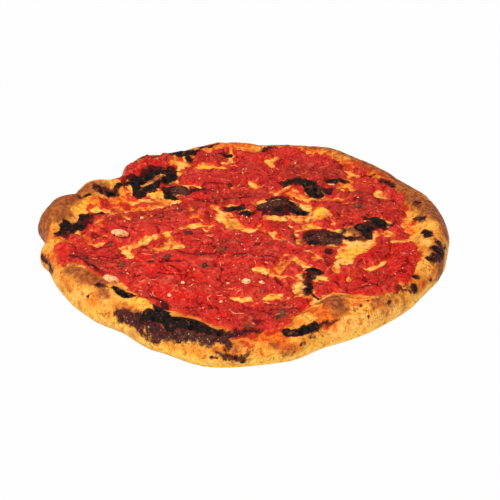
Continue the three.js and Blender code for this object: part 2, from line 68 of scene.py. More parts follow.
# Soft lumps: size, height, seed.
DOUGH_LUMPS = [[36, 1.3, 5], [15, 0.9, 6]]
TOMATO_LUMPS = [[11, 0.5, 21], [5, 0.3, 22]]
RAGGED_EDGE = [[9, 1.5, 11]]
FINE_EDGE = [[4.6, 1.5, 18], [2.4, 1.1, 17]]

# Radius of the widest outline at each angle.
OUTLINE = [
    [-180,146.5], [-175,145.5], [-171,148.5], [-165,143.5], [-149,141.5], [-138,140], [-127,137],
    [-113,143.5], [-98,150.5], [-79,146.5], [-65,139], [-48,140.5], [-30,143.5], [-12,150],
    [5,154.5], [19,155], [32,150], [49,153], [62,156.5], [74,149], [84,145], [98,150], [113,141],
    [119,142], [124,147], [132,142], [140,128.5], [146,132], [153,144], [159,142.5], [165,154.5],
    [172,155.5],
]

# Rim at each angle: crest height, crest's inset from the outline, width of the inner slope.
RIM = [
    [-176,22,13,18], [-150,23,15,17], [-128,22,15,18], [-105,21,13,22], [-88,19,11,24],
    [-60,22,15,22], [-35,22.5,13,20], [-12,22.5,13,15], [8,23,12,16], [28,22,11,16], [50,21,9,12],
    [82,20,8,10], [118,21,9,12], [134,22,10,16], [150,24,12,20], [166,25,14,22],
]

# Blisters, folds and dents: x, y, half length, half width, turn, height, fallen-in middle.
RELIEF = [
    [-115,58,18,13,38,3,0], [-74,80,29,17,58,5,2.2], [-50,64,13,12,0,3.5,1],
    [49,74,25,15,-38,5.5,0], [75,84,12,7,0,2.5,0], [27,42,27,15,-10,5,0], [-3,36,14,9,-20,3,0],
    [58,30,10,12,0,3,0], [61,-7,20,10,3,3.5,0], [94,8,27,13,45,5,1], [132,17,14,11,75,3,1.8],
    [63,-98,25,14,82,4.5,0], [-10,20,16,16,0,2,0], [50,-55,8,7,0,2.5,0], [-30,-121,34,11,-14,2.5,0],
    [-66,-105,15,10,-30,2.5,0], [-81,-89,11,6,-50,-4.5,0], [-132,1,19,9,84,-3,0],
    [-117,15,13,7,50,-2.5,0], [38,-132,18,5,14,-3.5,0], [137,-9,13,6,80,-3,0],
    [119,-77,8,5,25,-2.5,0],
]

# Where the tomato stops short of the outline: angle, inset.
TOPPING_EDGE_INSETS = [
    [-178,26], [-172,12], [-167,4.6], [-160,5.6], [-152,17], [-146,23], [-140,32], [-133,29],
    [-126,20], [-113,29.5], [-97,28], [-91,18], [-77,16], [-68,25.5], [-61,37], [-52,39],
    [-48,15.5], [-38,8], [-30,9.5], [-22,12], [-12,20], [-2,31], [9,33], [18,24], [30,18.5],
    [50,16], [66,13], [75,11], [90,16], [104,16], [112,17], [120,9.5], [130,11.5], [137,6], [142,7],
    [149,27], [159,29], [170,38],
]

# Bare dough: strokes from x, y to x, y with a half width.
BARE = [
    [-34,105,-16,104,5], [-53,92,-52,108,3.2], [-56,112,-47,110,4.5], [-9,131,-9,116,2.8],
    [27,122,23,112,3.2], [-104,54,-92,55,6.5], [-106,48,-86,46,6], [-110,32,-90,34,5.5],
    [-90,35,-72,38,5], [-72,41,-60,43,4], [-72,60,-62,63,5], [-78,50,-60,48,5], [-78,56,-56,55,3.5],
    [-58,52,-50,48,3.5], [-35,71,-32,69,3], [6,81,9,74,3.6], [24,63,31,62,3.2], [33,66,42,58,5.5],
    [43,53,51,50,4], [54,50,74,51,4], [62,57,66,54,3], [77,74,86,71,4.5], [84,70,84,65,2.6],
    [82,101,89,93,3.4], [104,62,111,53,3.6], [58.5,27.5,59.5,26,6.2], [51,33,50,22,3],
    [-20,38,-16,24,4], [-14,24,-6,13,7.5], [-2,11,4,4,4.5], [3,4,8,5,3], [20,24,29,21,4.6],
    [38,23,44,20,4.2], [46,14,48,4,3.2], [50,12,55,7,5], [63,5,71,3,2.6], [68,3,68,-1,3],
    [-46,7,-32,14,3.6], [-31,12,-24,10,3.6], [-40,20,-33,22,3.2], [-47,5,-56,0,3],
    [-60,-3,-72,-12,3.2], [-72,-14,-84,-24,3.6], [-54,-4,-53,-20,4.5], [-62,-23,-46,-22,3.4],
    [-49,-14,-44,-20,2.6], [-80,-24,-79,-31,3.6], [22,1,23,-5,3.6], [98,2,92,-10,4.4],
    [89,-14,82,-24,8.5], [80,-24,75,-36,8], [69,-41,68.5,-51,3.6], [103,3,106,0,2.6],
    [110,6,112,2,3], [110,-9,122,-10,3], [102,-39,88,-49,2.6], [38,-36,42,-42,4],
    [42,-44,47,-45,2.4], [52,-26,53,-36,3], [30,-43,24,-52,5.5], [12,-52,20,-56,3.6],
    [50,-64,58,-63,3.4], [40,-60,40,-72,4], [42,-75,42,-86,3.2], [48,-78,49,-92,3.4],
    [46,-88,50,-97,3.6], [-5,-88,8,-89,3.2], [16,-87,24,-86,5], [-134,-20,-126,-20,5],
]

# Charred tops that stand bare of tomato, as strokes.
CHARRED = [
    [-84,66,-67,92,8.5], [-64,94,-61,84,6.5], [-81,62,-70,72,7], [-55,65,-46,64,7.5],
    [38,79,48,79,6.5], [48,78,56,62,7], [58,66,65,65,5], [69,83,80,83,5], [-9,37,2,32,6],
    [16,44,28,40,9], [30,44,46,35,8], [52,-10,72,-10,7.5], [79,0,90,1,8], [96,16,104,12,6.5],
    [107,12,110,12,3], [50,-55,52,-56,5], [47,-60,45,-65,2.6], [45,-70,46,-79,4.5],
]

# Edges where neighbouring tomato pieces touch: runs of points.
TEARS = [
    [[110,6],[109,-20],[107,-33],[99,-43]],
    [[98,-43],[94,-49],[97,-62],[100,-74],[106,-100]],
    [[98,-43],[93,-49],[88,-53],[80,-58],[75,-66],[74,-78],[70,-96]],
    [[68,-48],[73,-57],[80,-60]],
    [[69,-48],[64,-55],[56,-64]],
]

# Whole tomato pieces and folds, laid out as RELIEF is.
TOMATO_FOLDS = [
    [115,-44,34,16,-80,2.4,0], [92,-34,26,10,40,1.6,0], [84,-72,20,14,-60,2,0],
    [62,-70,16,10,70,1.2,0], [35,-54,13,6,50,1.4,0], [-12,-44,30,8,-8,1.2,0], [-14,-26,26,6,4,-1,0],
    [-62,-50,24,16,10,1,0], [-30,-80,34,14,-10,1,0], [-84,12,22,12,-20,1.2,0],
    [-30,82,30,12,-12,1,0], [72,30,22,9,22,1.2,0], [86,55,18,14,-30,1.2,0], [8,-8,22,10,0,1,0],
    [12,120,17,9,-15,1,0],
]

# Garlic slices: x, y, length, width, thickness, turn, lift of the middle.
GARLIC = [
    [-90.3,-69,12,8.5,4.5,12,1.4], [-89,-9.5,13,11.5,3.8,-10,1.5], [3.2,-71.5,7,6,3,20,0.8],
]

# Garlic crumbs: x, y, size.
GARLIC_CRUMBS = [
    [13.8,-71,4], [-40.5,-72.5,3.2], [-48.7,-88,3.5], [-9.4,-71.5,3], [-13.5,-96.5,3],
    [-75.5,20.5,3],
]

# Herb flakes: x, y, length, turn.
HERBS = [
    [-110,-43.5,5.5,80], [-62.7,-37,6,75], [-53.7,-38,6,0], [-64.6,-46,5,15], [-26.3,-49,7,85],
    [-13.5,-27,8,95], [14.5,-41.5,5,90], [36.8,-6.5,4.5,60], [-39.8,-4.5,6.5,5], [-47,30.5,5,80],
    [-67.5,23.5,6,0], [13.5,-80,5,70], [26,-112,9,50], [5,-127,8,0], [-95.5,-20,5,90],
    [88,34.5,7,70], [20.5,-19,4,0], [36,89,5,20], [72,92.5,4.5,10], [-5,52,6,20], [-85,-48,6,80],
    [-22,58.5,5,0], [-12,74.5,4.5,40],
]

# ---------------------------------------------------------------- marks of the baking, as strokes

# Burnt black.
CHAR = [
    [-85,69,-80,59,4.4], [-84,72,-77,84,5.4], [-77,84,-68,94,6.4], [-68,95,-60,96,6.4],
    [-59,96,-56,88,4], [-78,62,-70,69,3.4], [-70,69,-62,78,3.2], [-62,78,-57,86,3],
    [-60,65,-57,57,2.8], [-58,67,-52,71,2.2], [-52,71,-45,70,2], [-57,57,-52,54,1.8],
    [-106,55,-99,57,1.4], [-99,61,-90,66,1.2], [-115,53,-111,55,1.2], [-131,-9,-130,8,3.8],
    [-134,-9,-133,5,2.4], [-127,-3,-124,6,2.4], [-121,4,-119,22,4], [-118,18,-114,26,2],
    [-110,26,-106,28,2.4], [-124,42,-118,46,1], [-54,121,-46,123,3.4], [-58,124,-52,124,1.8],
    [-44,118,-41,114,1.8], [-45,124,-36,127,1.4], [-36,131,-22,139,0.8], [-17,124,-12,125,2],
    [17,131,21,131,1.4], [34,77,40,79,4], [39,79,47,78,5.6], [47,76,53,70,6.4], [52,70,57,60,5.2],
    [64,66,67,63,1.8], [67,83,74,83,3.2], [74,83,82,83,1.6], [22,48,32,48,3.2], [30,45,36,41,2.2],
    [11,33,20,33,2], [20,31,33,31,3.2], [33,34,46,33,2.8], [36,39,44,36,1.8], [-11,36,0,37,3.2],
    [1,28,4,28,4.2], [50,-13,55,-14,2.6], [63,-9,71,-9,1.5], [47,-6,52,-4,1.2], [76,-9,80,-9,1.6],
    [87,4,92,-3,4.6], [90,3,95,3,3], [94,18,99,19,2.4], [98,18,104,12,4.6], [96,12,101,9,2],
    [49,-54,53,-56,3.4], [47,-59,45,-64,1.5], [45,-70,46,-75,2], [45,-76,45.5,-80,2.4],
    [49,-84,52,-88,0.9], [61,-30,61.5,-28,2.2], [136,-5,135,-14,2.6], [138,-32,141,-34,2.4],
    [131,-46,134,-46,1.4], [118,-77,120,-75,1.4], [106,-85,117,-78,0], [132,40,136,36,1],
    [107,73,112,71,1.2], [114,66,118,64,1.4], [28,-133.6,38.5,-130,2.2], [38.5,-129.6,49,-125.6,2],
    [50,-125.5,58,-120.5,0.1], [58,-120.5,64,-117,-0.2], [-62,-117,-52,-119,5.4],
    [-52,-119,-46,-126,6], [-46,-123,-34,-128,5.4], [-34,-128,-22,-131.5,5],
    [-22,-131.5,-15,-133,3.4], [-57,-108,-50,-114,3], [1,-133,10,-131,1.5], [-84,-84,-76,-93,3.2],
    [-99,-81,-85,-86,0.6], [-121,-47,-113,-50,0.9], [-113,-50,-99,-62,0.8], [84,-100,84.5,-100,0.3],
    [78,-105,78.5,-105,0.3], [74,-108,75,-108,0.3], [66,-96,67,-96,0.5], [78,-84,92,-82,0.7],
]

# Burnt purple and maroon, round the black and where tomato juice scorched, with painted glints.
MAROON = [
    [-84,109,-62,117,1.4], [-92,97,-84,108,0.9], [-113,53,-98,58,3], [-56,66,-46,64,7],
    [-46,64,-42,60,4.5], [-39,62,-32,63,3.6], [132,17,134,13,3], [108,74,117,66,2.4],
    [98,88,104,86,1.6], [49,-7,71,-8,5.5], [54,-15,70,-15,3.2], [73,-4,75,4,2],
    [-57,-96,-51,-105,4], [-81,-108,-70,-115,3], [-70,-115,-60,-119,4.4], [-68,-119,-54,-131,3.6],
    [-58,-120,-46,-127,5.4], [-46,-127,-38,-133,5.6], [-40,-134,-24,-138,6],
    [-24,-138,-12,-140,4.6], [-20,-134,-2,-135,3.6], [17,131,24,132,3.2], [14,38,38,38,6.2],
    [38,36,48,32,3.2], [54,70,66,66,4.4], [141,-22,143,-32,3.2], [134,-46,139,-40,3],
    [106,13,112,13,2.2], [46,-68,45,-80,3.6], [50,-57,47,-62,4.6], [-131,-11,-128,6,5.4],
    [-120,6,-117,20,5.4], [-62,121,-42,126,4.2], [80,-9,90,-8,2.4], [88,0,100,10,5.4],
    [-18,-139,-9,-144,3],
]

# The same kinds of mark on the outer wall: angle, height to angle, height, with a half width in
# millimetres.
WALL_CHAR = [
    [-93,10.4,-90,9.2,1], [-89.3,7,-89.1,7,0.9], [-58.7,15,-58.5,15,0.3], [-44,18,-43.6,18,0.7],
    [-52.5,15,-52.3,15,0.2], [-29,20,-28.6,19.6,2], [-140,17,-139.7,17,0.9], [-35,21,-31,20.5,0.7],
    [-97,10,-96,9.5,0.5], [-74,12,-73,11.6,0.6], [-24,12,-23.7,12,0.8],
]
WALL_MAROON = [
    [-128.5,16,-124,15,2.2], [-124,15.5,-118,16.5,3.4], [-118,17.5,-112,16,3], [-112,15.5,-98,18,3],
    [-96.3,14.5,-93.5,10.7,1.5], [-93.5,10.5,-89.5,9.2,2.6], [-89.5,9.5,-87.5,14,1.3],
    [-169,12,-161,11.5,2.8], [-165,5,-163,12,2], [-71,15,-70,15,1.2], [-16,18,-13,16,2.2],
    [-9,18,-7,16,1.6],
]
WALL_BROWN = [
    [176,14,180,8,4], [182,15,184,12,1.6], [-82.3,15,-81.8,14.6,1.4], [-79,11,-76.5,9.6,1.8],
    [-50,19,-48,19,0.7], [-143.5,17,-142.5,17,0.6], [-93,15,-91,15,1], [-133,13,-130,12,0.8],
    [-46,20,-38,19,1.2],
]
WALL_ORANGE = [
    [178,17,188,16,4], [189,15,192,14,2.4], [-94,15,-90,13,2.6], [-80,14,-75,10,3],
    [-88,13,-84,10,2.4], [-30,13,-12,14,3], [170,12,176,12,4], [-113,11.5,-100,11,1.6],
]
WALL_RED = [
    [-91,18,-87,15,2.4], [-100,14,-96,15,1.2], [140,14,134,14,4], [126,14,119,14,3],
]
WALL_YELLOW = [
    [-84,12,-83.3,12,2.6], [-77,17,-76,17,2.4], [-110,8,-92,6,2.4], [-150,9,-136,8,2.4],
    [-72,9,-66,8,2],
]
WALL_CREAM = [
    [-65,12,-42,12,5], [-73.6,16.5,-73,16.3,1.6], [-140,7,-118,7,2.6], [-60,17,-46,15,2],
]

# Over-baked brown skin.
BROWN = [
    [-149,4,-143,30,10], [-143,30,-130,44,9], [-139,8,-132,18,4], [-125,50,-108,58,5],
    [-150,-6,-149,8,5], [-120,-58,-108,-70,5.6], [-108,-70,-96,-80,6], [-98,-79,-92,-92,4],
    [-126,5,-125,11,2], [-79,77,-61,83,5], [118,64,127,52,3.6], [127,50,138,36,6],
    [138,36,146,12,7.6], [146,12,149,-8,4], [58,-98,64,-110,7.4], [90,-98,100,-96,1.4],
    [20,136,27,133,2], [54,78,61,73,3], [79,3,83,-2,4.6], [140,-34,141,-46,5.6],
    [-94,93,-83,110,2.2], [-83,110,-60,117,2.2], [15,139,47,135,1], [47,135,72,131,1.4],
    [72,131,91,115,2.4], [91,114,102,102,2.2], [102,102,113,86,2.4], [113,86,126,62,3],
    [126,62,139,38,4.5], [-142,22,-138,36,11],
]

# Orange stains of oil and tomato juice in the dough.
ORANGE = [
    [-110,42,-94,44,7], [-100,54,-90,52,6], [-96,38,-72,40,6], [-92,98,-76,110,3],
    [-116,-14,-102,18,7], [-136,-16,-126,-20,5], [-146,-30,-142,-36,4], [-30,137,12,139,5],
    [50,132,62,132,4], [64,124,100,100,3.6], [100,98,124,72,5], [32,66,42,60,5.5],
    [-12,24,-3,21,4.4], [0,10,8,16,4], [121,20,126,4,4.4], [12,-128,25,-136,6], [46,-110,58,-120,7],
    [8,-138,24,-141,4], [30,-40,22,-52,5], [-41,16,-32,24,4.5], [-60,-5,-48,-14,4],
    [-96,8,-92,-10,3], [102,0,107,3,3], [64,-16,58,-20,3], [-77,82,-66,76,2], [92,-98,70,-99,2.5],
    [72,-104,96,-100,2.5], [46,8,46,26,3], [52,-20,60,-20,4], [-70,44,-60,50,5], [110,60,122,40,4],
    [-104,-66,-92,-78,5], [60,50,76,50,4], [112,-2,118,-8,3],
]

# Dark red juice.
RED = [
    [-66,-120,-56,-128,2.6], [-106,45,-103,38,4.8], [-91,46,-88,37,4.4], [-135,-13,-128,-14,3.4],
    [-98,34,-92,32,2.4], [-80,44,-74,42,2.4], [88,112,96,104,2.6], [96,104,104,94,2.6],
    [108,84,116,70,2.6], [-4,-137,8,-134,4.4], [-62,-8,-57,-12,2.6], [-53,-15,-52,-18,2.2],
    [30,62,36,68,3], [-10,20,-4,22,2.4], [44,-31,46,-35,2.6], [34,-50,37,-56,2.4],
    [120,46,124,38,4], [128,10,131,14,2.4], [56,-104,60,-110,4], [60,-99,64,-106,4],
    [100,80,104,74,4], [16,-132,24,-132,3],
]

# Clear yellow dough.
YELLOW = [
    [-126,30,-112,40,6.5], [-104,56,-94,54,4], [-72,64,-62,62,4.5], [-36,104,-14,104,4],
    [44,52,52,50,4], [76,74,86,70,4], [54,51,74,50,3], [84,-24,74,-32,6], [14,-86,24,-88,5],
    [-32,18,-30,12,3], [-10,14,-2,12,4], [44,9,56,7,4], [57,27,60,24,4.5], [126,20,128,12,2.6],
    [128,4,130,-3,3], [-72,-100,-61,-106,4.4], [-136,-20,-128,-21,3], [22,-47,27,-53,3.4],
    [-56,-4,-50,-8,3], [-92,-84,-86,-78,3], [40,-112,52,-104,3],
]

# Pale cream dough.
CREAM = [
    [-14,12,4,5,4], [20,24,30,20,5], [38,24,43,20,4.5], [66,-42,69,-52,4], [-84,-24,-62,-20,3.4],
    [-61,-22,-46,-22,3], [-47,6,-31,13,3], [-26,12,-25,3,3], [87,-50,101,-40,2.5],
    [112,-12,128,-12,2.4], [128,-12,134,-30,2.4], [-52,94,-50,112,4], [-56,88,-51,78,1.6],
    [-51,75,-32,70,2], [-7,-88,7,-89,3], [10,-52,19,-56,4], [38,-38,46,-44,4.5], [84,98,92,92,3],
    [104,62,112,52,4], [20,-2,24,3,4], [18,6,24,-4,4], [-22,36,-14,14,4], [98,3,97,-4,3],
    [62,6,72,0,3.6], [24,63,31,63,3.5], [-38,33,-36,38,2], [41,4,40,-16,2], [92,-8,80,-18,4.4],
    [-118,-78,-106,-86,3], [58,30,62,28,3], [76,-38,70,-46,3.4], [50,-64,58,-63,3],
    [-49,-98,-26,-119,1.4], [-28,106,-18,106,2.4],
]

# Small bumps and dents that only the looks need, laid out as RELIEF is.
SMALL_RELIEF = [
    [-111,-77,4.5,4,0,1.6,2.2], [40,-137,6,4,10,2.2,0], [-96,-84,10,2,-42,-1.6,0],
    [-123,44,7,3,60,-3,0], [57,-123,9,2.2,34,-1.8,0], [-118,-56,18,2.2,-24,-1.4,0],
    [60,30,9,8,0,1.5,0], [106,-85,12,2,4,-1.6,0], [-22,146,8,4,0,1,0], [78,-101,14,3,-18,0.8,0],
    [100,-98,8,3,20,0.8,0], [-5,-146,12,3,4,-1.4,0], [84,-5,8,6,20,1.2,0],
    [-66,-103,10,5,-30,1.5,0], [20,-142,9,5,0,1.2,0],
]

# Fine cracks and slits where dough shows between the folds of tomato, as strokes.
SLITS = [
    [-55,88,-51,77,1.4], [-50,75,-34,71,1.7], [-14,113,-9,113,2], [-26,8,-25.5,2,2], [15,7,19,2,2],
    [21,-9,31,-11,1.8], [41,4,40,-16,1.8], [45,-28,52,-25,2], [-112,14,-104,10,1.6],
    [-113,6,-106,0,1.8], [-110,-10,-102,-6,1.5], [-108,-16,-98,-12,1.2], [-117,-4,-112,-12,2],
    [-106,18,-110,8,1.6], [66,22,70,12,1.2], [74,24,84,22,1], [44,18,46,28,1.6], [34,16,37,8,1.4],
    [120,44,124,34,1.8], [100,78,108,70,1.6], [92,88,98,82,1.6], [10,-92,24,-96,1.8],
    [30,-88,38,-86,1.8], [60,-26,58,-20,1.8], [46,-46,50,-49,1.6], [34,-30,28,-38,1.4],
    [118,-80,108,-76,1.2], [-24,36,-20,33,1.6], [-30,20,-28,16,1.6], [-8,70,-2,78,1.2],
    [48,100,60,96,1.2], [-40,36,-37,32,1.8], [-60,72,-56,78,1.3], [72,-66,79,-57,1.4],
    [88,-48,96,-43,1.2], [22,-118,36,-116,1.8], [4,64,10,70,1.2], [-92,26,-84,20,1.2],
    [-112,-16,-104,-18,1.6], [60,-60,66,-56,1.2], [34,-62,26,-60,1.6], [16,-60,26,-57,1.6],
    [76,44,84,46,1], [106,-2,112,-6,1.6], [-70,44,-62,42,2], [-104,-2,-98,4,1.4],
    [-76,26,-70,24,1.4], [12,14,10,6,1.4],
]

# Folds and creases pressed into the tomato, as strokes.
CREASES = [
    [-46,-28,-30,-32,1.6], [-30,-32,-14,-29,1.4], [-12,-36,4,-32,1.6], [4,-32,26,-38,1.4],
    [-60,-44,-44,-40,1.6], [-52,-48,-44,-56,2], [-96,-52,-80,-48,1.4], [-22,-16,-18,-26,1.8],
    [-20,-10,-28,-4,1.6], [6,-22,14,-16,1.4], [-58,-58,-40,-60,1.4], [-78,18,-60,22,1.5],
    [-84,30,-70,26,1.4], [-92,8,-78,0,1.3], [-38,70,-20,76,1.4], [-20,76,4,72,1.4],
    [10,96,30,92,1.3], [60,96,76,92,1.3], [70,44,90,48,1.4], [64,34,84,40,1.4],
    [-16,112,-4,108,1.5], [-62,96,-60,104,1.4], [102,-58,112,-66,1.6], [112,-40,118,-54,1.3],
    [84,-64,90,-78,1.4], [62,-66,68,-76,1.3], [-30,-98,-16,-104,1.4], [-60,-92,-48,-98,1.3],
    [8,-104,24,-112,1.4], [-38,-72,-22,-70,1.2], [22,-62,30,-72,1.4], [-102,-36,-88,-38,1.3],
    [-30,44,-22,52,1.8], [-14,50,6,54,1.5], [-42,52,-34,46,1.6], [88,-38,76,-46,1.4],
]

# Dull, drier tomato.
DULL = [
    [40,100,76,96,9], [78,62,104,44,8], [-98,20,-66,30,11], [-70,22,-40,34,8], [-34,40,-8,48,7],
    [0,60,24,58,5], [-20,118,-14,112,5], [66,22,92,34,5], [22,-104,30,-110,7], [4,-118,8,-122,5],
    [-18,-22,-12,-18,6], [-112,-42,-88,-46,6], [-52,60,-34,64,6],
]

# Fresh, bright red tomato.
BRIGHT = [
    [116,-24,112,-64,12], [96,-22,88,-40,6], [84,-66,90,-80,9], [-52,-52,-36,-60,9],
    [-70,-40,-60,-54,8], [-14,-40,10,-44,6], [-58,-82,-20,-96,8], [12,10,20,-4,7],
    [-34,56,-28,40,5], [16,116,30,112,7], [40,-104,52,-84,6], [62,-74,66,-66,7], [-84,84,-70,106,5],
    [-150,-34,-130,-40,8], [-20,-118,-10,-112,6],
]

# ---------------------------------------------------------------- numbers by place

HASH_PRIMES = (374761393, 668265263, 2246822519, 1274126177)
WORD = 0xFFFFFFFF
TORN_LAYERS = ((9, 1), (4, 0.6), (2, 0.35))  # size of the shifts, share of the reach
FAR = 1e6


def smooth(value):
    t = np.clip(value, 0.0, 1.0)
    return t * t * (3 - 2 * t)


def ease(t):
    return t * t * t * (t * (t * 6 - 15) + 10)


def periodic(table, column, angle):
    """Value of a column at an angle, in a table of angles that closes on itself."""
    start = table[0][0]
    angles = np.array([row[0] for row in table] + [start + 360.0])
    values = np.array([row[column] for row in table] + [table[0][column]], float)
    turned = start + np.mod(angle - start, 360.0)
    low = np.clip(np.searchsorted(angles, turned, side="right") - 1, 0, len(table) - 1)
    share = smooth((turned - angles[low]) / (angles[low + 1] - angles[low]))
    return values[low] + (values[low + 1] - values[low]) * share


def scatter(column, row, seed, layer=0):
    """A repeatable number from 0 to 1 for a whole-numbered place."""
    parts = zip((column, row, layer, seed), HASH_PRIMES)
    mixed = sum(part * prime for part, prime in parts) & WORD
    stirred = ((mixed ^ (mixed >> 13)) * HASH_PRIMES[3]) & WORD
    return (stirred ^ (stirred >> 16)) / 2**32


def noise(size, seed, x, y, z=None):
    """Soft lumps from -1 to 1, about a size across, in a plane or in space."""
    x, y = x / size, y / size
    column, row = np.floor(x).astype(np.int64), np.floor(y).astype(np.int64)
    across, along = ease(x - column), ease(y - row)

    def plane(layer):
        corners = [
            scatter(column + right, row + up, seed, layer) for up in (0, 1) for right in (0, 1)
        ]
        near = corners[0] * (1 - across) + corners[1] * across
        far = corners[2] * (1 - across) + corners[3] * across
        return near + (far - near) * along

    if z is None:
        return 2 * plane(0) - 1
    floor = np.floor(z / size).astype(np.int64)
    below, above = plane(floor), plane(floor + 1)
    return 2 * (below + (above - below) * ease(z / size - floor)) - 1


def lumps_at(table, x, y):
    return sum(height * noise(apart, seed, x, y) for apart, height, seed in table)


def relief_at(table, x, y):
    """Height that a list of oval domes and dents adds at a place."""
    height = np.zeros_like(x)
    for centre_x, centre_y, half_length, half_width, turn, rise, fallen in table:
        cos, sin = math.cos(math.radians(turn)), math.sin(math.radians(turn))
        along = ((x - centre_x) * cos + (y - centre_y) * sin) / half_length
        across = ((y - centre_y) * cos - (x - centre_x) * sin) / half_width
        reach = np.minimum(along * along + across * across, 1)
        height += rise * (1 - reach) ** 2 - fallen * np.exp(-reach / FALLEN_SPREAD) * (1 - reach)
    return height


def stroke_distance(table, x, y):
    """Distance to the nearest edge of a list of strokes, negative inside one."""
    nearest = np.full_like(x, FAR)
    for start_x, start_y, end_x, end_y, half_width in table:
        run_x, run_y = end_x - start_x, end_y - start_y
        share = ((x - start_x) * run_x + (y - start_y) * run_y) / (run_x**2 + run_y**2)
        share = np.clip(share, 0, 1)
        distance = np.hypot(x - start_x - share * run_x, y - start_y - share * run_y)
        nearest = np.minimum(nearest, distance - half_width)
    return nearest


def torn(reach, seed, *places):
    """Coordinates shifted by uneven amounts, so that a stroke read there gets a torn edge."""
    moved = []
    for axis, place in enumerate(places):
        for layer, (size, share) in enumerate(TORN_LAYERS):
            place = place + reach * share * noise(size, seed + 3 * axis + layer, *places)
        moved.append(place)
    return moved


def scraps(x, y, size, seed):
    """Uneven scraps side by side: distance from a scrap's border, its own number from 0 to 1, and
    the place measured from its middle."""
    column, row = np.floor(x / size).astype(np.int64), np.floor(y / size).astype(np.int64)
    nearest, second = np.full_like(x, FAR), np.full_like(x, FAR)
    own, from_x, from_y = np.zeros_like(x), np.zeros_like(x), np.zeros_like(x)
    for beside in (-1, 0, 1):
        for above in (-1, 0, 1):
            cell = column + beside, row + above
            away_x = x - (cell[0] + 0.1 + 0.8 * scatter(*cell, seed)) * size
            away_y = y - (cell[1] + 0.1 + 0.8 * scatter(*cell, seed + 1)) * size
            distance = np.hypot(away_x, away_y)
            closer = distance < nearest
            second = np.where(closer, nearest, np.minimum(second, distance))
            own = np.where(closer, scatter(*cell, seed + 2), own)
            from_x, from_y = np.where(closer, away_x, from_x), np.where(closer, away_y, from_y)
            nearest = np.minimum(nearest, distance)
    return second - nearest, own, from_x, from_y


# ---------------------------------------------------------------- surfaces

FIBRE_RUN, FIBRE_APART = 7, 2.3  # length and spacing of the pulp's grain in a scrap
CREVICE_WIDTH = 1.7  # between scraps
GROOVE_WIDTH = 1.5  # between bits


def angle_at(x, y):
    return np.degrees(np.arctan2(y, x))


def outline_at(angle):
    return periodic(OUTLINE, 1, angle)


def inset_at(x, y):
    return outline_at(angle_at(x, y)) - np.hypot(x, y)


def dough_top(x, y):
    """Top of the dough: a round wall up to the rim's crest, then a slope down to the well."""
    angle = angle_at(x, y)
    inset = inset_at(x, y)
    crest, crest_inset, slope = (periodic(RIM, column, angle) for column in (1, 2, 3))
    widest = WIDEST_SHARE * crest
    outward = np.clip((crest_inset - inset) / crest_inset, 0, 1)
    wall = widest + (crest - widest) * np.sqrt(1 - outward**WALL_ROUNDNESS)
    inside = crest + (WELL_HEIGHT - crest) * smooth((inset - crest_inset) / slope)
    uneven = lumps_at(DOUGH_LUMPS, x, y) + relief_at(RELIEF, x, y)
    return np.where(inset < crest_inset, wall, inside) + uneven * np.clip(inset / LUMPS_INSET, 0, 1)


def tear_strokes():
    return [[*start, *end, TEAR_WIDTH / 2] for run in TEARS for start, end in zip(run, run[1:])]


def whole_cover(x, y):
    """Distance inwards from the tomato's edge and its openings, negative on bare dough."""
    torn_x, torn_y = torn(EDGE_TORN, 12, x, y)
    from_rim = inset_at(torn_x, torn_y) - periodic(TOPPING_EDGE_INSETS, 1, angle_at(torn_x, torn_y))
    nearest = np.minimum(from_rim, stroke_distance(BARE + CHARRED, torn_x, torn_y))
    nearest += lumps_at(RAGGED_EDGE + FINE_EDGE, x, y)
    slits = stroke_distance(SLITS, torn_x, torn_y) + 1.6 * noise(3.4, 19, x, y)
    return np.minimum(np.minimum(nearest, slits), inset_at(x, y) - TOMATO_INSET)


def topping_cover(x, y):
    """The same, with the tears between neighbouring pieces."""
    tears = stroke_distance(tear_strokes(), x, y) + 0.3 * noise(3, 15, x, y)
    return np.minimum(whole_cover(x, y), tears)


def folds(x, y):
    """Relief of the crushed tomato, from about -1 to 1, and each scrap's own tone from 0 to 1."""
    bent_x, bent_y = torn(FOLDS_TORN, 41, x, y)
    border, own, from_x, from_y = scraps(bent_x, bent_y, SCRAP_SIZE, 47)
    bits, tone, _, _ = scraps(bent_x, bent_y, BIT_SIZE, 51)
    turn = np.radians(180 * own)
    along = from_x * np.cos(turn) + from_y * np.sin(turn)
    across = from_y * np.cos(turn) - from_x * np.sin(turn)
    fibres = 1 - 2.2 * np.abs(noise(1, 50, along / FIBRE_RUN + 9 * own, across / FIBRE_APART))
    crevice = smooth(1 - border / CREVICE_WIDTH) * smooth(0.45 + 1.1 * noise(14, 54, x, y))
    grooves = smooth(1 - bits / GROOVE_WIDTH) * smooth(0.6 + 1.2 * noise(8, 55, x, y))
    leaning = across / SCRAP_SIZE * np.where(own > 0.5, 1, -1)
    grain = noise(1.9, 49, bent_x, bent_y)
    relief = 0.35 * fibres + 0.5 * leaning + 0.22 * grain + 0.15 - 0.9 * crevice - 0.5 * grooves
    return relief, 0.6 * own + 0.4 * tone


# ---------------------------------------------------------------- meshes

WALL_TURN = 4.5  # degrees of the round wall from ring to ring
CREST_RADIUS = 133  # usual radius of the rim's crest


def ring_at(step, radius_at):
    """Points about a step apart, at the radius that each angle gives."""
    count = max(6, round(2 * math.pi * float(radius_at(np.zeros(1))[0]) / step))
    angle = 360 * np.arange(count) / count - 180
    radius = radius_at(angle)
    return np.stack([radius * np.cos(np.radians(angle)), radius * np.sin(np.radians(angle))], 1)


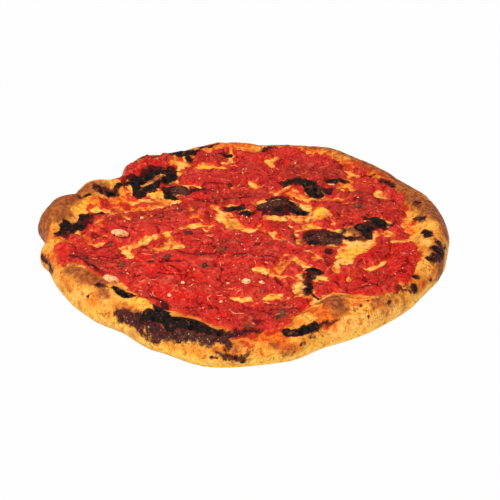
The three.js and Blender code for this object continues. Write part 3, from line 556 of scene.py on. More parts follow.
def stitch(outer_start, outer_count, inner_start, inner_count):
    """Triangles between an outer and an inner ring of other lengths, seen from above."""
    if inner_count == 1:
        here = np.arange(outer_count)
        centre = np.full(outer_count, inner_start)
        return np.stack([outer_start + here, outer_start + (here + 1) % outer_count, centre], 1)
    shares = [(np.arange(count) + 0.5) / count for count in (outer_count, inner_count)]
    from_outer = np.argsort(np.concatenate(shares), kind="stable") < outer_count
    outer = np.cumsum(from_outer) - from_outer
    inner = np.cumsum(~from_outer) - ~from_outer
    outer_here = outer_start + outer % outer_count
    inner_here = inner_start + inner % inner_count
    outer_next = outer_start + (outer + 1) % outer_count
    inner_next = inner_start + (inner + 1) % inner_count
    return np.stack([outer_here, np.where(from_outer, outer_next, inner_next), inner_here], 1)


def sheet(rings):
    """Stitches rings of points into one sheet: its points and triangles."""
    starts = np.cumsum([0] + [len(ring) for ring in rings])
    triangles = [
        stitch(starts[place], len(rings[place]), starts[place + 1], len(rings[place + 1]))
        for place in range(len(rings) - 1)
    ]
    return np.concatenate(rings), np.concatenate(triangles)


def top_rings(step, lowest=0):
    """Rings of points that follow the outline: evenly up the round wall from a turn in degrees,
    then inwards from the crest to the middle."""

    def radius_in(angle, share):
        return outline_at(angle) - share * periodic(RIM, 2, angle)

    rings = []
    for turn in np.radians(np.arange(lowest, 90, WALL_TURN)):
        up = 1 - math.cos(turn) ** (2 / WALL_ROUNDNESS)
        rings.append(ring_at(step, lambda angle: radius_in(angle, up)))
    count = round(CREST_RADIUS / step)
    for place in range(count):
        rings.append(ring_at(step, lambda angle: radius_in(angle, 1) * (1 - place / count)))
    return [*rings, np.zeros((1, 2))]


def shell(x, y, upper, lower, top, edge):
    """A closed shell: a sheet's points at two levels, its triangles twice, and walls along its
    edge, which comes as pairs of points."""
    count = len(x)
    leave, enter = np.transpose(edge)
    walls = [enter, leave, leave + count], [enter, leave + count, enter + count]
    triangles = [top, top[:, ::-1] + count, *(np.stack(wall, 1) for wall in walls)]
    points = [np.column_stack([x, y, level]) for level in (upper, lower)]
    return np.concatenate(points), np.concatenate(triangles)


def normals_of(points, triangles):
    corners = points[triangles]
    faces = np.cross(corners[:, 1] - corners[:, 0], corners[:, 2] - corners[:, 0])
    normals = np.zeros_like(points)
    for corner in range(3):
        np.add.at(normals, triangles[:, corner], faces)
    return normals / np.maximum(np.linalg.norm(normals, axis=1, keepdims=True), 1e-9)


def joined(shapes):
    """One mesh from many points-and-triangles pairs."""
    starts = np.cumsum([0] + [len(points) for points, _ in shapes])
    triangles = [faces + start for (_, faces), start in zip(shapes, starts)]
    return np.concatenate([points for points, _ in shapes]), np.concatenate(triangles)


def add_piece(name, points, triangles, material, slot, replaced=(), **attributes):
    """A mesh object from points in millimetres, riding on the model's one body."""
    mesh = bpy.data.meshes.new(name)
    mesh.vertices.add(len(points))
    mesh.vertices.foreach_set("co", (np.asarray(points) * MM).astype(np.float32).ravel())
    mesh.loops.add(3 * len(triangles))
    mesh.loops.foreach_set("vertex_index", np.asarray(triangles, np.int32).ravel())
    mesh.polygons.add(len(triangles))
    mesh.polygons.foreach_set("loop_start", np.arange(0, 3 * len(triangles), 3, dtype=np.int32))
    mesh.update(calc_edges=True)
    mesh.polygons.foreach_set("use_smooth", np.ones(len(triangles), bool))
    for key, values in attributes.items():
        layer = mesh.attributes.new(key, "FLOAT", "POINT")
        layer.data.foreach_set("value", np.asarray(values, np.float32))
    mesh.materials.append(material)
    piece = bpy.data.objects.new(name, mesh)
    bpy.context.scene.collection.objects.link(piece)
    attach(piece, "root")
    if replaced:
        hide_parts(*replaced)


# ---------------------------------------------------------------- materials


def colour(red, green, blue):
    """An sRGB colour of 0 to 255, as the linear numbers a shader takes."""
    parts = [part / 255 for part in (red, green, blue)]
    return (*((p / 12.92 if p <= 0.04045 else ((p + 0.055) / 1.055) ** 2.4) for p in parts), 1.0)


class Shader:
    """A material's node tree, with short calls for the nodes that it uses. Sizes and depths are
    millimetres, and a colour is a tuple of three sRGB numbers of 0 to 255."""

    def __init__(self, name, roughness=0.5, **inputs):
        self.material = bpy.data.materials.new(name)
        self.material.use_nodes = True
        self.tree = self.material.node_tree
        self.surface = self.tree.nodes["Principled BSDF"]
        for key, value in {"Roughness": roughness, **inputs}.items():
            self.surface.inputs[key.replace("_", " ")].default_value = value
        self.places = self.node("TexCoord", "Object")
        self.shifted = self.places

    def set(self, socket, value):
        if isinstance(value, bpy.types.NodeSocket):
            self.tree.links.new(value, socket)
        else:
            socket.default_value = colour(*value) if isinstance(value, tuple) else value

    def node(self, kind, output, inputs=None, **settings):
        """Makes a node with the settings and inputs given, and returns one of its outputs."""
        made = self.tree.nodes.new(f"ShaderNode{kind}")
        for key, value in settings.items():
            setattr(made, key, value)
        for key, value in (inputs or {}).items():
            self.set(made.inputs[key], value)
        return made.outputs[output]

    def attribute(self, name, moved=None, share=1.0):
        """A piece's own value, moved by a share of another value."""
        own = self.node("Attribute", "Fac", attribute_name=name)
        return own if moved is None else self.math("MULTIPLY_ADD", moved, share, own)

    def noise(self, size, detail=2.0, roughness=0.5, distortion=0.0, output="Fac"):
        """Noise from about 0.2 to 0.8."""
        inputs = {
            "Vector": self.places, "Scale": 1 / (size * MM), "Detail": detail,
            "Roughness": roughness, "Distortion": distortion,
        }
        return self.node("TexNoise", output, inputs)

    def shift_places(self, size, reach):
        """Places shifted by soft noise, for the cracks that are read there."""
        moved = {0: self.noise(size, output="Color"), 1: [reach * MM] * 3, 2: self.places}
        self.shifted = self.node("VectorMath", 0, moved, operation="MULTIPLY_ADD")

    def cracks(self, size):
        """Distance from the borders of uneven cells, 0 on a border."""
        inputs = {"Vector": self.shifted, "Scale": 1 / (size * MM)}
        return self.node("TexVoronoi", "Distance", inputs, feature="DISTANCE_TO_EDGE")

    def math(self, operation, *values):
        return self.node("Math", 0, dict(enumerate(values)), operation=operation)

    def times(self, first, second):
        return self.math("MULTIPLY", first, second)

    def spread(self, value, low, high, most=1.0):
        """How far a value has come from low to high, clamped and eased, from 0 to the most."""
        inputs = {"Value": value, "From Min": low, "From Max": high, "To Max": most}
        return self.node("MapRange", "Result", inputs, interpolation_type="SMOOTHSTEP")

    def mix(self, share, first, second):
        return self.node("Mix", 2, {"Factor": share, 6: first, 7: second}, data_type="RGBA")

    def blend(self, value, low, high, first, second, most=1.0):
        """The first colour where a value is low, turning into the second where it is high."""
        return self.mix(self.spread(value, low, high, most), first, second)

    def bump(self, height, depth, normal=None):
        inputs = {"Height": height, "Distance": depth * MM}
        return self.node("Bump", "Normal", {**inputs, "Normal": normal} if normal else inputs)

    def finish(self, base, roughness=None, normal=None):
        for key, value in (("Base Color", base), ("Roughness", roughness), ("Normal", normal)):
            if value is not None:
                self.set(self.surface.inputs[key], value)
        return self.material


def dough_material():
    """Baked dough: cream and yellow inside, golden on the rim, stained, browned and charred, with
    painted shade in its dents and in the char's hollows, and painted glints on its purple burns.
    """
    shade = Shader("baked_dough", 0.5, Specular_IOR_Level=0.07)
    shade.shift_places(6, 5)
    wide = shade.noise(16, 3)
    fine = shade.noise(3.2, 4, 0.6)
    tiny = shade.noise(1.2, 3, 0.6)
    ragged = shade.noise(2.4, 5, 0.7)
    shift = shade.math("MULTIPLY_ADD", ragged, 7.0, -3.5)
    height, inner, freckled = (shade.attribute(name) for name in ("height", "inner", "freckles"))

    base = shade.blend(wide, 0.38, 0.62, (206, 118, 36), (234, 164, 66))
    base = shade.blend(fine, 0.5, 0.7, base, (178, 84, 24))
    base = shade.mix(inner, base, shade.blend(fine, 0.4, 0.64, (250, 186, 94), (226, 124, 38)))
    low = shade.blend(fine, 0.47, 0.66, (238, 184, 78), (228, 148, 46))
    base = shade.mix(shade.attribute("wall"), base, low)
    cream = shade.blend(fine, 0.45, 0.64, (242, 180, 88), (232, 148, 60))
    base = shade.blend(shade.attribute("cream", shift, 0.5), -1.2, 1.8, base, cream)
    yellow = shade.blend(fine, 0.45, 0.64, (242, 172, 60), (226, 130, 32))
    base = shade.blend(shade.attribute("yellow", shift, 0.5), -1.2, 1.8, base, yellow)
    stain = shade.blend(fine, 0.4, 0.6, (220, 104, 20), (182, 46, 10))
    base = shade.blend(shade.attribute("orange", shift), -2.0, 3.5, base, stain, 0.85)
    flecks = shade.times(shade.spread(ragged, 0.6, 0.68, 0.8), inner)
    base = shade.mix(flecks, base, (150, 34, 12))
    base = shade.blend(shade.attribute("red", shift), -0.6, 1.8, base, (168, 24, 10), 0.92)
    skin = shade.blend(fine, 0.4, 0.6, (160, 82, 38), (102, 50, 26))
    base = shade.blend(shade.attribute("brown", shift), -3.0, 2.5, base, skin, 0.94)
    lines = shade.times(shade.spread(shade.cracks(7), 0.05, 0.0, 0.7), shade.spread(wide, 0.4, 0.6))
    base = shade.mix(shade.times(lines, freckled), base, (160, 80, 26))
    base = shade.mix(shade.times(shade.spread(tiny, 0.61, 0.67), freckled), base, (136, 60, 22))
    # Painted shade: the dough is darkened where its surface sinks into dents and pits.
    base = shade.blend(height, 0.0, -0.5, base, (140, 60, 18), 0.6)
    purple = shade.blend(fine, 0.42, 0.58, (64, 14, 26), (20, 6, 13))
    # Painted highlights: small pale glints on the purple burns.
    purple = shade.blend(shade.noise(1.3, 2), 0.67, 0.71, purple, (214, 150, 140), 0.8)
    base = shade.blend(shade.attribute("maroon", shift), -1.6, 1.2, base, purple, 0.96)
    burnt = shade.attribute("char", shift, 0.5)
    edge = shade.blend(fine, 0.4, 0.6, (116, 42, 20), (66, 18, 14))
    base = shade.blend(burnt, -1.4, -0.2, base, edge)
    black = shade.blend(tiny, 0.4, 0.62, (8, 6, 6), (38, 25, 19))
    rusty = shade.blend(ragged, 0.42, 0.58, (124, 62, 42), (50, 20, 16))
    black = shade.blend(shade.noise(5, 3, 0.6), 0.55, 0.63, black, rusty, 0.7)
    base = shade.blend(burnt, -0.5, 0.5, base, black)
    # Painted shade: the char's sunk places are darkened nearly to black.
    char_hollow_shade = shade.times(shade.spread(burnt, 0.0, 1.0), shade.spread(height, 0.1, -0.6))
    base = shade.mix(char_hollow_shade, base, (3, 2, 2))

    dark = shade.spread(burnt, -1.5, 0.8)
    rough = shade.math("MULTIPLY_ADD", fine, 0.3, 0.36)
    rough = shade.math("MULTIPLY_ADD", dark, -0.1, rough)
    normal = shade.bump(fine, 0.7)
    normal = shade.bump(shade.times(shade.noise(1.7, 3, 0.6), dark), 1.6, normal)
    normal = shade.bump(tiny, 0.2, normal)
    return shade.finish(base, rough, normal)


def tomato_material():
    """Crushed tomato: scraps of several reds with painted shade between them and in their hollows,
    painted highlights on their ridges and in fine spots, and light fibres and seeds.
    """
    shade = Shader("crushed_tomato", 0.35, Specular_IOR_Level=0.08)
    shade.shift_places(4, 4)
    wide = shade.noise(13, 3)
    fine = shade.noise(2.6, 4, 0.65, 0.4)
    tiny = shade.noise(1.1, 3, 0.65)
    height = shade.attribute("height")
    shift = shade.math("MULTIPLY_ADD", fine, 6.0, -3.0)

    dull = shade.attribute("dull", shift)
    base = shade.mix(shade.attribute("tone"), (164, 24, 18), (204, 48, 36))
    base = shade.blend(wide, 0.4, 0.62, base, (188, 34, 26), 0.6)
    base = shade.blend(dull, -2, 3, base, (150, 38, 26), 0.7)
    base = shade.blend(shade.attribute("bright", shift), -2, 3, base, (200, 22, 16), 0.75)
    # Painted highlights: fine pale pink spots all over the tomato.
    base = shade.blend(fine, 0.56, 0.72, base, (224, 88, 60), 0.7)
    base = shade.blend(fine, 0.46, 0.33, base, (116, 4, 4), 0.7)
    # Painted highlights on the ridges of the relief, and painted shade in its hollows.
    base = shade.blend(height, 0.2, 0.7, base, (230, 98, 70), 0.45)
    base = shade.blend(height, -0.15, -0.75, base, (92, 2, 3), 0.85)
    # Painted shade: dark lines along the borders between scraps.
    gap_shade = shade.spread(shade.cracks(3.6), 0.08, 0.0, 0.7)
    base = shade.mix(shade.times(gap_shade, shade.spread(wide, 0.6, 0.4)), base, (98, 3, 4))
    base = shade.blend(shade.noise(1.9), 0.65, 0.7, base, (84, 10, 6), 0.7)
    base = shade.blend(shade.noise(1.6, 1, 0.5, 0.3), 0.31, 0.27, base, (236, 124, 76), 0.6)
    base = shade.blend(shade.attribute("olive", shift), -1.5, 2.5, base, (120, 58, 30), 0.6)
    base = shade.blend(shade.attribute("thin", shift, 0.6), -0.2, 2.0, base, (220, 78, 40), 0.5)
    base = shade.blend(shade.attribute("scorch", shift, 0.8), -2.0, 0.5, base, (44, 6, 8), 0.92)

    rough = shade.math("MULTIPLY_ADD", tiny, 0.5, 0.16)
    rough = shade.math("ADD", rough, shade.spread(dull, -3, 4, 0.14))
    return shade.finish(base, rough, shade.bump(tiny, 0.45, shade.bump(fine, 1.3)))


def garlic_material():
    """Baked garlic: cream, glossy with oil and toasted in spots."""
    flesh = {"Specular_IOR_Level": 0.25, "Subsurface_Weight": 0.15, "Subsurface_Scale": 0.002}
    shade = Shader("baked_garlic", 0.45, **flesh)
    fine = shade.noise(2.2, 3, 0.6)
    base = shade.blend(fine, 0.4, 0.6, (234, 186, 132), (210, 136, 84))
    base = shade.blend(shade.noise(3.4, 3, 0.6), 0.56, 0.66, base, (176, 76, 36))
    return shade.finish(base, None, shade.bump(fine, 0.25))


def herb_material():
    """Dried herb flakes baked olive and brown."""
    shade = Shader("baked_herb", 0.6, Specular_IOR_Level=0.1)
    fine = shade.noise(1.4, 3, 0.6)
    base = shade.blend(shade.noise(9, 2), 0.42, 0.58, (104, 56, 32), (68, 30, 20))
    base = shade.blend(fine, 0.56, 0.72, base, (152, 98, 62))
    return shade.finish(base, None, shade.bump(fine, 0.2))


def fibre_material():
    """Pale strands of tomato skin and flesh."""
    shade = Shader("tomato_fibre", 0.45, Specular_IOR_Level=0.1)
    base = shade.blend(shade.noise(11, 2), 0.4, 0.6, (214, 62, 32), (232, 128, 84))
    return shade.finish(base, None, shade.bump(shade.noise(1.3, 2), 0.2))


def grain_material():
    """Coarse salt and pale specks of garlic."""
    shade = Shader("salt_grain", 0.25, Subsurface_Weight=0.2, Subsurface_Scale=0.001)
    base = shade.blend(shade.noise(7, 2), 0.4, 0.6, (246, 214, 176), (232, 150, 100))
    return shade.finish(base, None, shade.bump(shade.noise(0.7, 2), 0.1))


# ---------------------------------------------------------------- the bread

BREAD_STEP = 1.12  # between the points of the bread's upper side
LOWER_WALL_STEPS = range(9, 91, 9)  # degrees of the quarter turn from outline to foot
UNDERSIDE_STEP = 3.0
FOOT_RADIUS = 145  # usual radius of the underside
MARK_DROP = 1.6  # how far over or under its own level a mark from above still reaches
DEEPEST = 9.0  # how far inside a mark still counts
INNER_INSET, INNER_WIDTH = 22, 10  # where the paler inner dough starts, and over how much
FRECKLES_INSET = 26  # how far in the rim's freckles reach
WALL_TOP, WALL_FADE = 16, 10  # the paler wall ends at this height, and fades over this much


def wall_place(angle, height):
    """The place on the outer wall at an angle and a height."""
    at = np.array([float(angle)])
    crest, crest_inset = (float(periodic(RIM, column, at)[0]) for column in (1, 2))
    widest = WIDEST_SHARE * crest
    share = min(max((height - widest) / (crest - widest), 0), 1)
    inset = crest_inset * (1 - (1 - share * share) ** (1 / WALL_ROUNDNESS))
    radius, turn = float(outline_at(at)[0]) - inset, math.radians(angle)
    return np.array([radius * math.cos(turn), radius * math.sin(turn), height])


def mark_distance(table, wall_table, x, y, z):
    """Distance over the surface to the nearest edge of a list of marks, negative inside one."""
    strokes = []
    for start_x, start_y, end_x, end_y, half_width in table:
        levels = dough_top(np.array([start_x, end_x], float), np.array([start_y, end_y], float))
        ends = np.array([[start_x, start_y, levels[0]], [end_x, end_y, levels[1]]])
        strokes.append((*ends, half_width, MARK_DROP))
    for start, low, end, high, half_width in wall_table:
        strokes.append((wall_place(start, low), wall_place(end, high), half_width, 0))
    nearest = np.full_like(x, DEEPEST)
    for start, end, half_width, drop in strokes:
        run = end - start
        away = [x - start[0], y - start[1], z - start[2]]
        share = np.clip(sum(a * r for a, r in zip(away, run)) / max(run @ run, 0.01), 0, 1)
        away = [a - share * r for a, r in zip(away, run)]
        level = np.maximum(np.abs(away[2]) - drop, 0)
        nearest = np.minimum(nearest, np.sqrt(away[0] ** 2 + away[1] ** 2 + level**2) - half_width)
    return nearest


def marks(x, y, z):
    """How far inside each kind of baking mark a place lies, in millimetres."""
    places = torn(MARKS_TORN, 24, x, y, z)
    kinds = {
        "char": (CHAR, WALL_CHAR), "maroon": (MAROON, WALL_MAROON), "brown": (BROWN, WALL_BROWN),
        "orange": (ORANGE, WALL_ORANGE), "stain": (RED, WALL_RED), "yellow": (YELLOW, WALL_YELLOW),
        "cream": (CREAM, WALL_CREAM),
    }
    return {
        name: np.maximum(-mark_distance(*tables, *places), -DEEPEST)
        for name, tables in kinds.items()
    }


def bread_mesh():
    """The whole skin of the bread: its points and triangles, and how many points are on top."""
    rings = top_rings(BREAD_STEP)
    plan, top = sheet(rings)
    points = np.column_stack([plan, dough_top(plan[:, 0], plan[:, 1])])
    edge = points[: len(rings[0])]
    radius = np.hypot(edge[:, 0], edge[:, 1])
    lower = []
    for turn in map(math.radians, LOWER_WALL_STEPS):
        share = (radius - FOOT_INSET * (1 - math.cos(turn))) / radius
        level = edge[:, 2] * (1 - math.sin(turn))
        lower.append(np.column_stack([edge[:, 0] * share, edge[:, 1] * share, level]))
    count = round(FOOT_RADIUS / UNDERSIDE_STEP)
    for place in range(1, count):
        share = 1 - place / count
        flat = ring_at(UNDERSIDE_STEP, lambda angle: (outline_at(angle) - FOOT_INSET) * share)
        lower.append(np.column_stack([flat, np.zeros(len(flat))]))
    below, under = sheet([edge, *lower, np.zeros((1, 3))])
    under = np.where(under < len(edge), under, under + len(points) - len(edge))[:, ::-1]
    return np.concatenate([points, below[len(edge):]]), np.concatenate([top, under]), len(plan)


def make_bread(material):
    points, triangles, top_count = bread_mesh()
    x, y, z = points.T
    inset = inset_at(x, y)
    on_top = np.arange(len(points)) < top_count
    cover = np.where(on_top, topping_cover(x, y), -DEEPEST)
    found = marks(x, y, z)
    bare = smooth(-(cover + 0.2) / 1.5)
    burnt = smooth((np.maximum(found["char"], found["maroon"] - 0.6) + 0.8) / 2.2)
    burnt = burnt * smooth((z - 5) / 5)
    skin = 0.3 * noise(8, 61, x, y, z) + 0.2 * noise(3.4, 62, x, y, z)
    pits = smooth((noise(2.6, 63, x, y, z) - 0.5) / 0.3)
    blisters = 1 - 2.2 * np.abs(noise(3.6, 64, x, y, z))
    crags = 0.9 * blisters + 0.6 * noise(1.7, 65, x, y, z)
    rise = (skin - 0.4 * pits + burnt * crags) * bare * np.clip((z - 0.5) / 4, 0, 1)
    points = points + normals_of(points, triangles) * rise[:, None]
    points[:, 2] += np.where(on_top, relief_at(SMALL_RELIEF, x, y) * np.clip(inset / 3, 0, 1), 0)
    points[:, 2] -= np.where(on_top, 0.25 * smooth((cover - 0.3) / 1.0), 0)
    points[:, 2] = np.maximum(points[:, 2], 0)

    near = np.where(on_top, whole_cover(x, y), -DEEPEST)
    edge_red = 1.0 - np.abs(near + 0.3) + 1.7 * noise(6, 71, x, y)
    found["red"] = np.clip(np.maximum(edge_red, found.pop("stain")), -DEEPEST, DEEPEST)
    juice = near + 1.8 + 3.4 * noise(7, 72, x, y) + 1.6 * noise(3, 73, x, y)
    found["orange"] = np.maximum(found["orange"], np.clip(juice, -DEEPEST, 3))
    found["wall"] = smooth((WALL_TOP - z) / WALL_FADE) * smooth((12 - inset) / 5)
    # How far each place rises or sinks; the dough's shader darkens sunk places as painted shade.
    found["height"] = np.clip(rise, -1, 1)
    found["inner"] = smooth((inset - INNER_INSET) / INNER_WIDTH)
    found["freckles"] = smooth((FRECKLES_INSET - inset) / 6)
    add_piece("bread_crust", points, triangles, material, "crust", ["bread"], **found)


# ---------------------------------------------------------------- the tomato

TOMATO_STEP = 1.08
TOMATO_LOWEST = 31.5  # degrees up the wall where the tomato's rings start
TOMATO_INSET = 3.6  # the tomato stays this far inside the outline
TOMATO_SINK = 0.5  # how far the tomato's lower side reaches into the dough
TOMATO_SPILL = 0.6  # how far past the edge of the cover the tomato still reaches
CUT_MARGIN = 0.03  # share of a facet's edge that the torn edge leaves on either side
LARGE_HERB = 6.5  # herb flakes longer than this tint the tomato round them


def clip_sheet(plan, triangles, cover):
    """Cuts a sheet along cover = 0. Gives new points as pairs of old ones with a share, the
    triangles that stay, and the edge as pairs."""
    inside = cover > 0
    count = inside[triangles].sum(1)
    kept = [triangles[count == 3]]
    pairs = []

    def crossing(a, b):
        low, high = np.minimum(a, b), np.maximum(a, b)
        pairs.append(np.stack([low, high], 1))
        return low * len(plan) + high + len(plan)

    edges = []
    for wanted, corners_inside in ((1, True), (2, False)):
        some = triangles[count == wanted]
        first = np.argmax(inside[some] == corners_inside, axis=1)
        a, b, c = (some[np.arange(len(some)), (first + turn) % 3] for turn in range(3))
        ab, ac = crossing(a, b), crossing(a, c)
        if wanted == 1:
            kept.append(np.stack([a, ab, ac], 1))
            edges.append(np.stack([ab, ac], 1))
        else:
            kept += [np.stack([ab, b, c], 1), np.stack([ab, c, ac], 1)]
            edges.append(np.stack([ac, ab], 1))
    pairs = np.concatenate(pairs)
    keys = pairs[:, 0] * len(plan) + pairs[:, 1] + len(plan)
    keys, places = np.unique(keys, return_index=True)
    pairs = pairs[places]
    share = cover[pairs[:, 0]] / (cover[pairs[:, 0]] - cover[pairs[:, 1]])
    share = np.clip(share, CUT_MARGIN, 1 - CUT_MARGIN)

    def renumber(index):
        crossed = index >= len(plan)
        found = np.searchsorted(keys, np.where(crossed, index, keys[0]))
        return np.where(crossed, len(plan) + found, index)

    return pairs, share, renumber(np.concatenate(kept)), renumber(np.concatenate(edges))


def tomato_depth(x, y, cover):
    """Depth of the tomato over its ground, with its fine relief and each scrap's tone."""
    within = smooth((cover + TOMATO_SPILL) / 4.2) ** 0.7
    lumps = lumps_at(TOMATO_LUMPS, x, y) + relief_at(TOMATO_FOLDS, x, y)
    from_crease = stroke_distance(CREASES, *torn(CREASES_TORN, 74, x, y))
    creases = smooth(1 - np.maximum(from_crease + 1.5, 0) / 2.2)
    relief, tone = folds(x, y)
    relief = relief - 1.1 * creases
    depth = (TOPPING_DEPTH + lumps + 1.15 * relief + TOMATO_SINK) * within - TOMATO_SINK
    return depth, np.clip(relief, -1, 1), tone


def make_tomato(material):
    plan, triangles = sheet(top_rings(TOMATO_STEP, TOMATO_LOWEST))
    cover = topping_cover(plan[:, 0], plan[:, 1]) + TOMATO_SPILL
    pairs, share, triangles, edge = clip_sheet(plan, triangles, cover)
    share = share[:, None]
    plan = np.concatenate([plan, plan[pairs[:, 0]] * (1 - share) + plan[pairs[:, 1]] * share])
    used, triangles = np.unique(triangles, return_inverse=True)
    triangles = triangles.reshape(-1, 3)
    x, y = plan[used].T
    ground = dough_top(x, y) + TOPPING_GAP
    depth, height, tone = tomato_depth(x, y, topping_cover(x, y))
    upper = ground + depth
    lower = np.minimum(ground - TOPPING_GAP - TOMATO_SINK, upper - 0.05)
    edge = np.searchsorted(used, edge)
    points, triangles = shell(x, y, upper, lower, triangles, edge)

    torn_places = torn(TINTS_TORN, 34, x, y)

    def inside(table):
        return np.clip(-stroke_distance(table, *torn_places), -DEEPEST, DEEPEST)

    from_herbs = np.min([
        np.hypot(x - at_x, y - at_y) - length / 3
        for at_x, at_y, length, _ in HERBS if length > LARGE_HERB
    ], axis=0)
    found = {
        # The relief, which the tomato's shader turns into painted highlights on ridges and painted
        # shade in hollows.
        "height": height, "tone": tone, "dull": inside(DULL), "bright": inside(BRIGHT),
        "thin": np.clip(1.3 - whole_cover(x, y), -DEEPEST, DEEPEST),
        "olive": np.clip(2.5 - from_herbs, -DEEPEST, DEEPEST),
        "scorch": np.maximum(inside(CHAR), inside(MAROON) - 1.0),
    }
    found = {key: np.concatenate([values, values]) for key, values in found.items()}
    nodes = sorted(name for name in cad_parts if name.startswith("tomato"))
    add_piece("tomato_crushed", points, triangles, material, "tomato", nodes, **found)


def surface_at(x, y):
    """Height of the tomato or bare dough at places."""
    x, y = np.atleast_1d(np.asarray(x, float)), np.atleast_1d(np.asarray(y, float))
    cover = topping_cover(x, y)
    raised = np.maximum(TOPPING_GAP + tomato_depth(x, y, cover)[0], 0)
    return dough_top(x, y) + np.where(cover > -TOMATO_SPILL, raised, 0)


def lean_at(x, y, reach=1.5):
    """Upward normal of the surface at a place, from heights a reach away on each side."""
    heights = surface_at([x - reach, x + reach, x, x], [y, y, y - reach, y + reach])
    slope_x = (heights[1] - heights[0]) / (2 * reach)
    slope_y = (heights[3] - heights[2]) / (2 * reach)
    return Vector((-slope_x, -slope_y, 1)).normalized()


# ---------------------------------------------------------------- garlic, herbs and grains

GARLIC_PINCH = 0.55  # how much narrower a slice is at its thin end
GARLIC_FLATNESS = 0.6  # 1 is an oval section, less has flatter faces
GRAIN_SHAPE = np.array([1, 0.8, 0.7])  # of crumbs and grains, as shares of the size

LEAF_SIDES = 18
LEAF_RINGS = (1, 0.75, 0.5, 0.25)
LEAF_WIDTH = 0.58  # share of its length

STRAND_STEPS, STRAND_SIDES = 10, 5

# How many there are, how far from the middle they reach, and their least and greatest lengths.
HERB_COUNT, HERB_REACH, HERB_LENGTHS = 110, 128, (1.2, 3.2)
FIBRE_COUNT, FIBRE_REACH, FIBRE_LENGTHS = 100, 126, (3, 11)
GRAIN_COUNT, GRAIN_REACH, GRAIN_SIZES = 120, 132, (0.6, 1.5)


def laid(points, x, y, turn, lift):
    """Turns a shape about Z, leans it with the surface and sets it down at a place."""
    lean = Vector((0, 0, 1)).rotation_difference(lean_at(x, y)).to_matrix()
    whole = np.array(lean @ Matrix.Rotation(math.radians(turn), 3, "Z"))
    return points @ whole.T + [x, y, float(surface_at(x, y)[0]) + lift]


def random_place(chance, reach):
    """A place drawn evenly from all that lie within a reach of the middle."""
    radius, angle = reach * math.sqrt(chance.random()), 2 * math.pi * chance.random()
    return radius * math.cos(angle), radius * math.sin(angle)


def cover_at(x, y):
    return topping_cover(np.array([x]), np.array([y]))[0]


def crowd_at(size, seed, x, y):
    return noise(size, seed, np.array([x]), np.array([y]))[0]


def ball(across, around):
    """Points and triangles of a sphere of radius 0.5 with its poles up."""
    angle = 2 * math.pi * np.arange(around) / around
    rings = [np.array([[0, 0, 0.5]])]
    for row in range(1, across):
        turn = math.pi * row / across
        radius, level = 0.5 * math.sin(turn), np.full(around, 0.5 * math.cos(turn))
        rings.append(np.column_stack([radius * np.cos(angle), radius * np.sin(angle), level]))
    rings.append(np.array([[0, 0, -0.5]]))
    points, triangles = np.concatenate(rings), []
    last = len(points) - 1
    for side in range(around):
        beside = (side + 1) % around
        triangles.append([0, 1 + side, 1 + beside])
        triangles.append([last, last - around + beside, last - around + side])
        for row in range(across - 2):
            here = 1 + row * around
            triangles.append([here + side, here + around + side, here + around + beside])
            triangles.append([here + side, here + around + beside, here + beside])
    return points, np.array(triangles)


def make_garlic(material):
    for place, (x, y, length, width, thickness, turn, lift) in enumerate(GARLIC):
        points, triangles = ball(36, 64)
        along, across, level = points.T
        pinch = 1 - GARLIC_PINCH * np.maximum(along, 0)
        flattened = np.sign(level) * np.abs(2 * level) ** GARLIC_FLATNESS / 2
        points = np.column_stack([along * length, across * width * pinch, flattened * thickness])
        bumps = 0.45 * noise(3, 81 + place, *points.T) + 0.2 * noise(1.3, 84 + place, *points.T)
        groove = -0.5 * np.exp(-((points[:, 1] / 1.1) ** 2)) * (points[:, 2] > 0)
        points = points + normals_of(points, triangles) * (bumps + groove)[:, None]
        points = laid(points, x, y, turn, lift - 0.2)
        name, replaced = f"garlic_slice_{place + 1}", [f"garlic_{place + 1}"]
        add_piece(name, points, triangles, material, "garlic", replaced)


def make_crumbs(material):
    shapes = []
    for place, (x, y, size) in enumerate(GARLIC_CRUMBS):
        points, triangles = ball(10, 14)
        points = points * size * GRAIN_SHAPE
        bumps = 0.15 * size * noise(1.6, 90 + place, *points.T)
        points += normals_of(points, triangles) * bumps[:, None]
        shapes.append((laid(points, x, y, 40 * size, 0.1), triangles))
    add_piece("garlic_crumbs", *joined(shapes), material, "garlic")


def leaf(length, seed):
    """A curled scrap of leaf: a thin closed shell with a ragged outline."""
    angle = 2 * math.pi * np.arange(LEAF_SIDES) / LEAF_SIDES
    way = np.column_stack([np.cos(angle), np.sin(angle)])
    reach = 1 + 0.22 * noise(1, seed, *(3 * way.T)) + 0.15 * noise(1, seed + 1, *(7 * way.T))
    plan, top = sheet([*(way * (reach * share)[:, None] for share in LEAF_RINGS), np.zeros((1, 2))])
    x, y = plan[:, 0] * length / 2, plan[:, 1] * length * (LEAF_WIDTH / 2)
    curl = 0.35 * noise(1, seed, x / 2 + seed, y / 2)
    curl = curl + 0.05 * (x / length) ** 2 * length - 0.1 * np.abs(y)
    side = np.arange(LEAF_SIDES)
    edge = np.stack([side, (side + 1) % LEAF_SIDES], 1)
    return shell(x, y, curl + 0.22, curl - 0.1, top, edge)


def make_herbs(material):
    chance = np.random.default_rng(7)
    places = list(HERBS)
    while len(places) < HERB_COUNT:
        x, y = random_place(chance, HERB_REACH)
        length, turn = chance.uniform(*HERB_LENGTHS), chance.uniform(0, 180)
        if cover_at(x, y) > length / 2:
            places.append([x, y, length, turn])
    shapes = []
    for place, (x, y, length, turn) in enumerate(places):
        points, triangles = leaf(length, 200 + place)
        shapes.append((laid(points, x, y, turn, 0.25), triangles))
    add_piece("herb_flakes", *joined(shapes), material, "tomato")


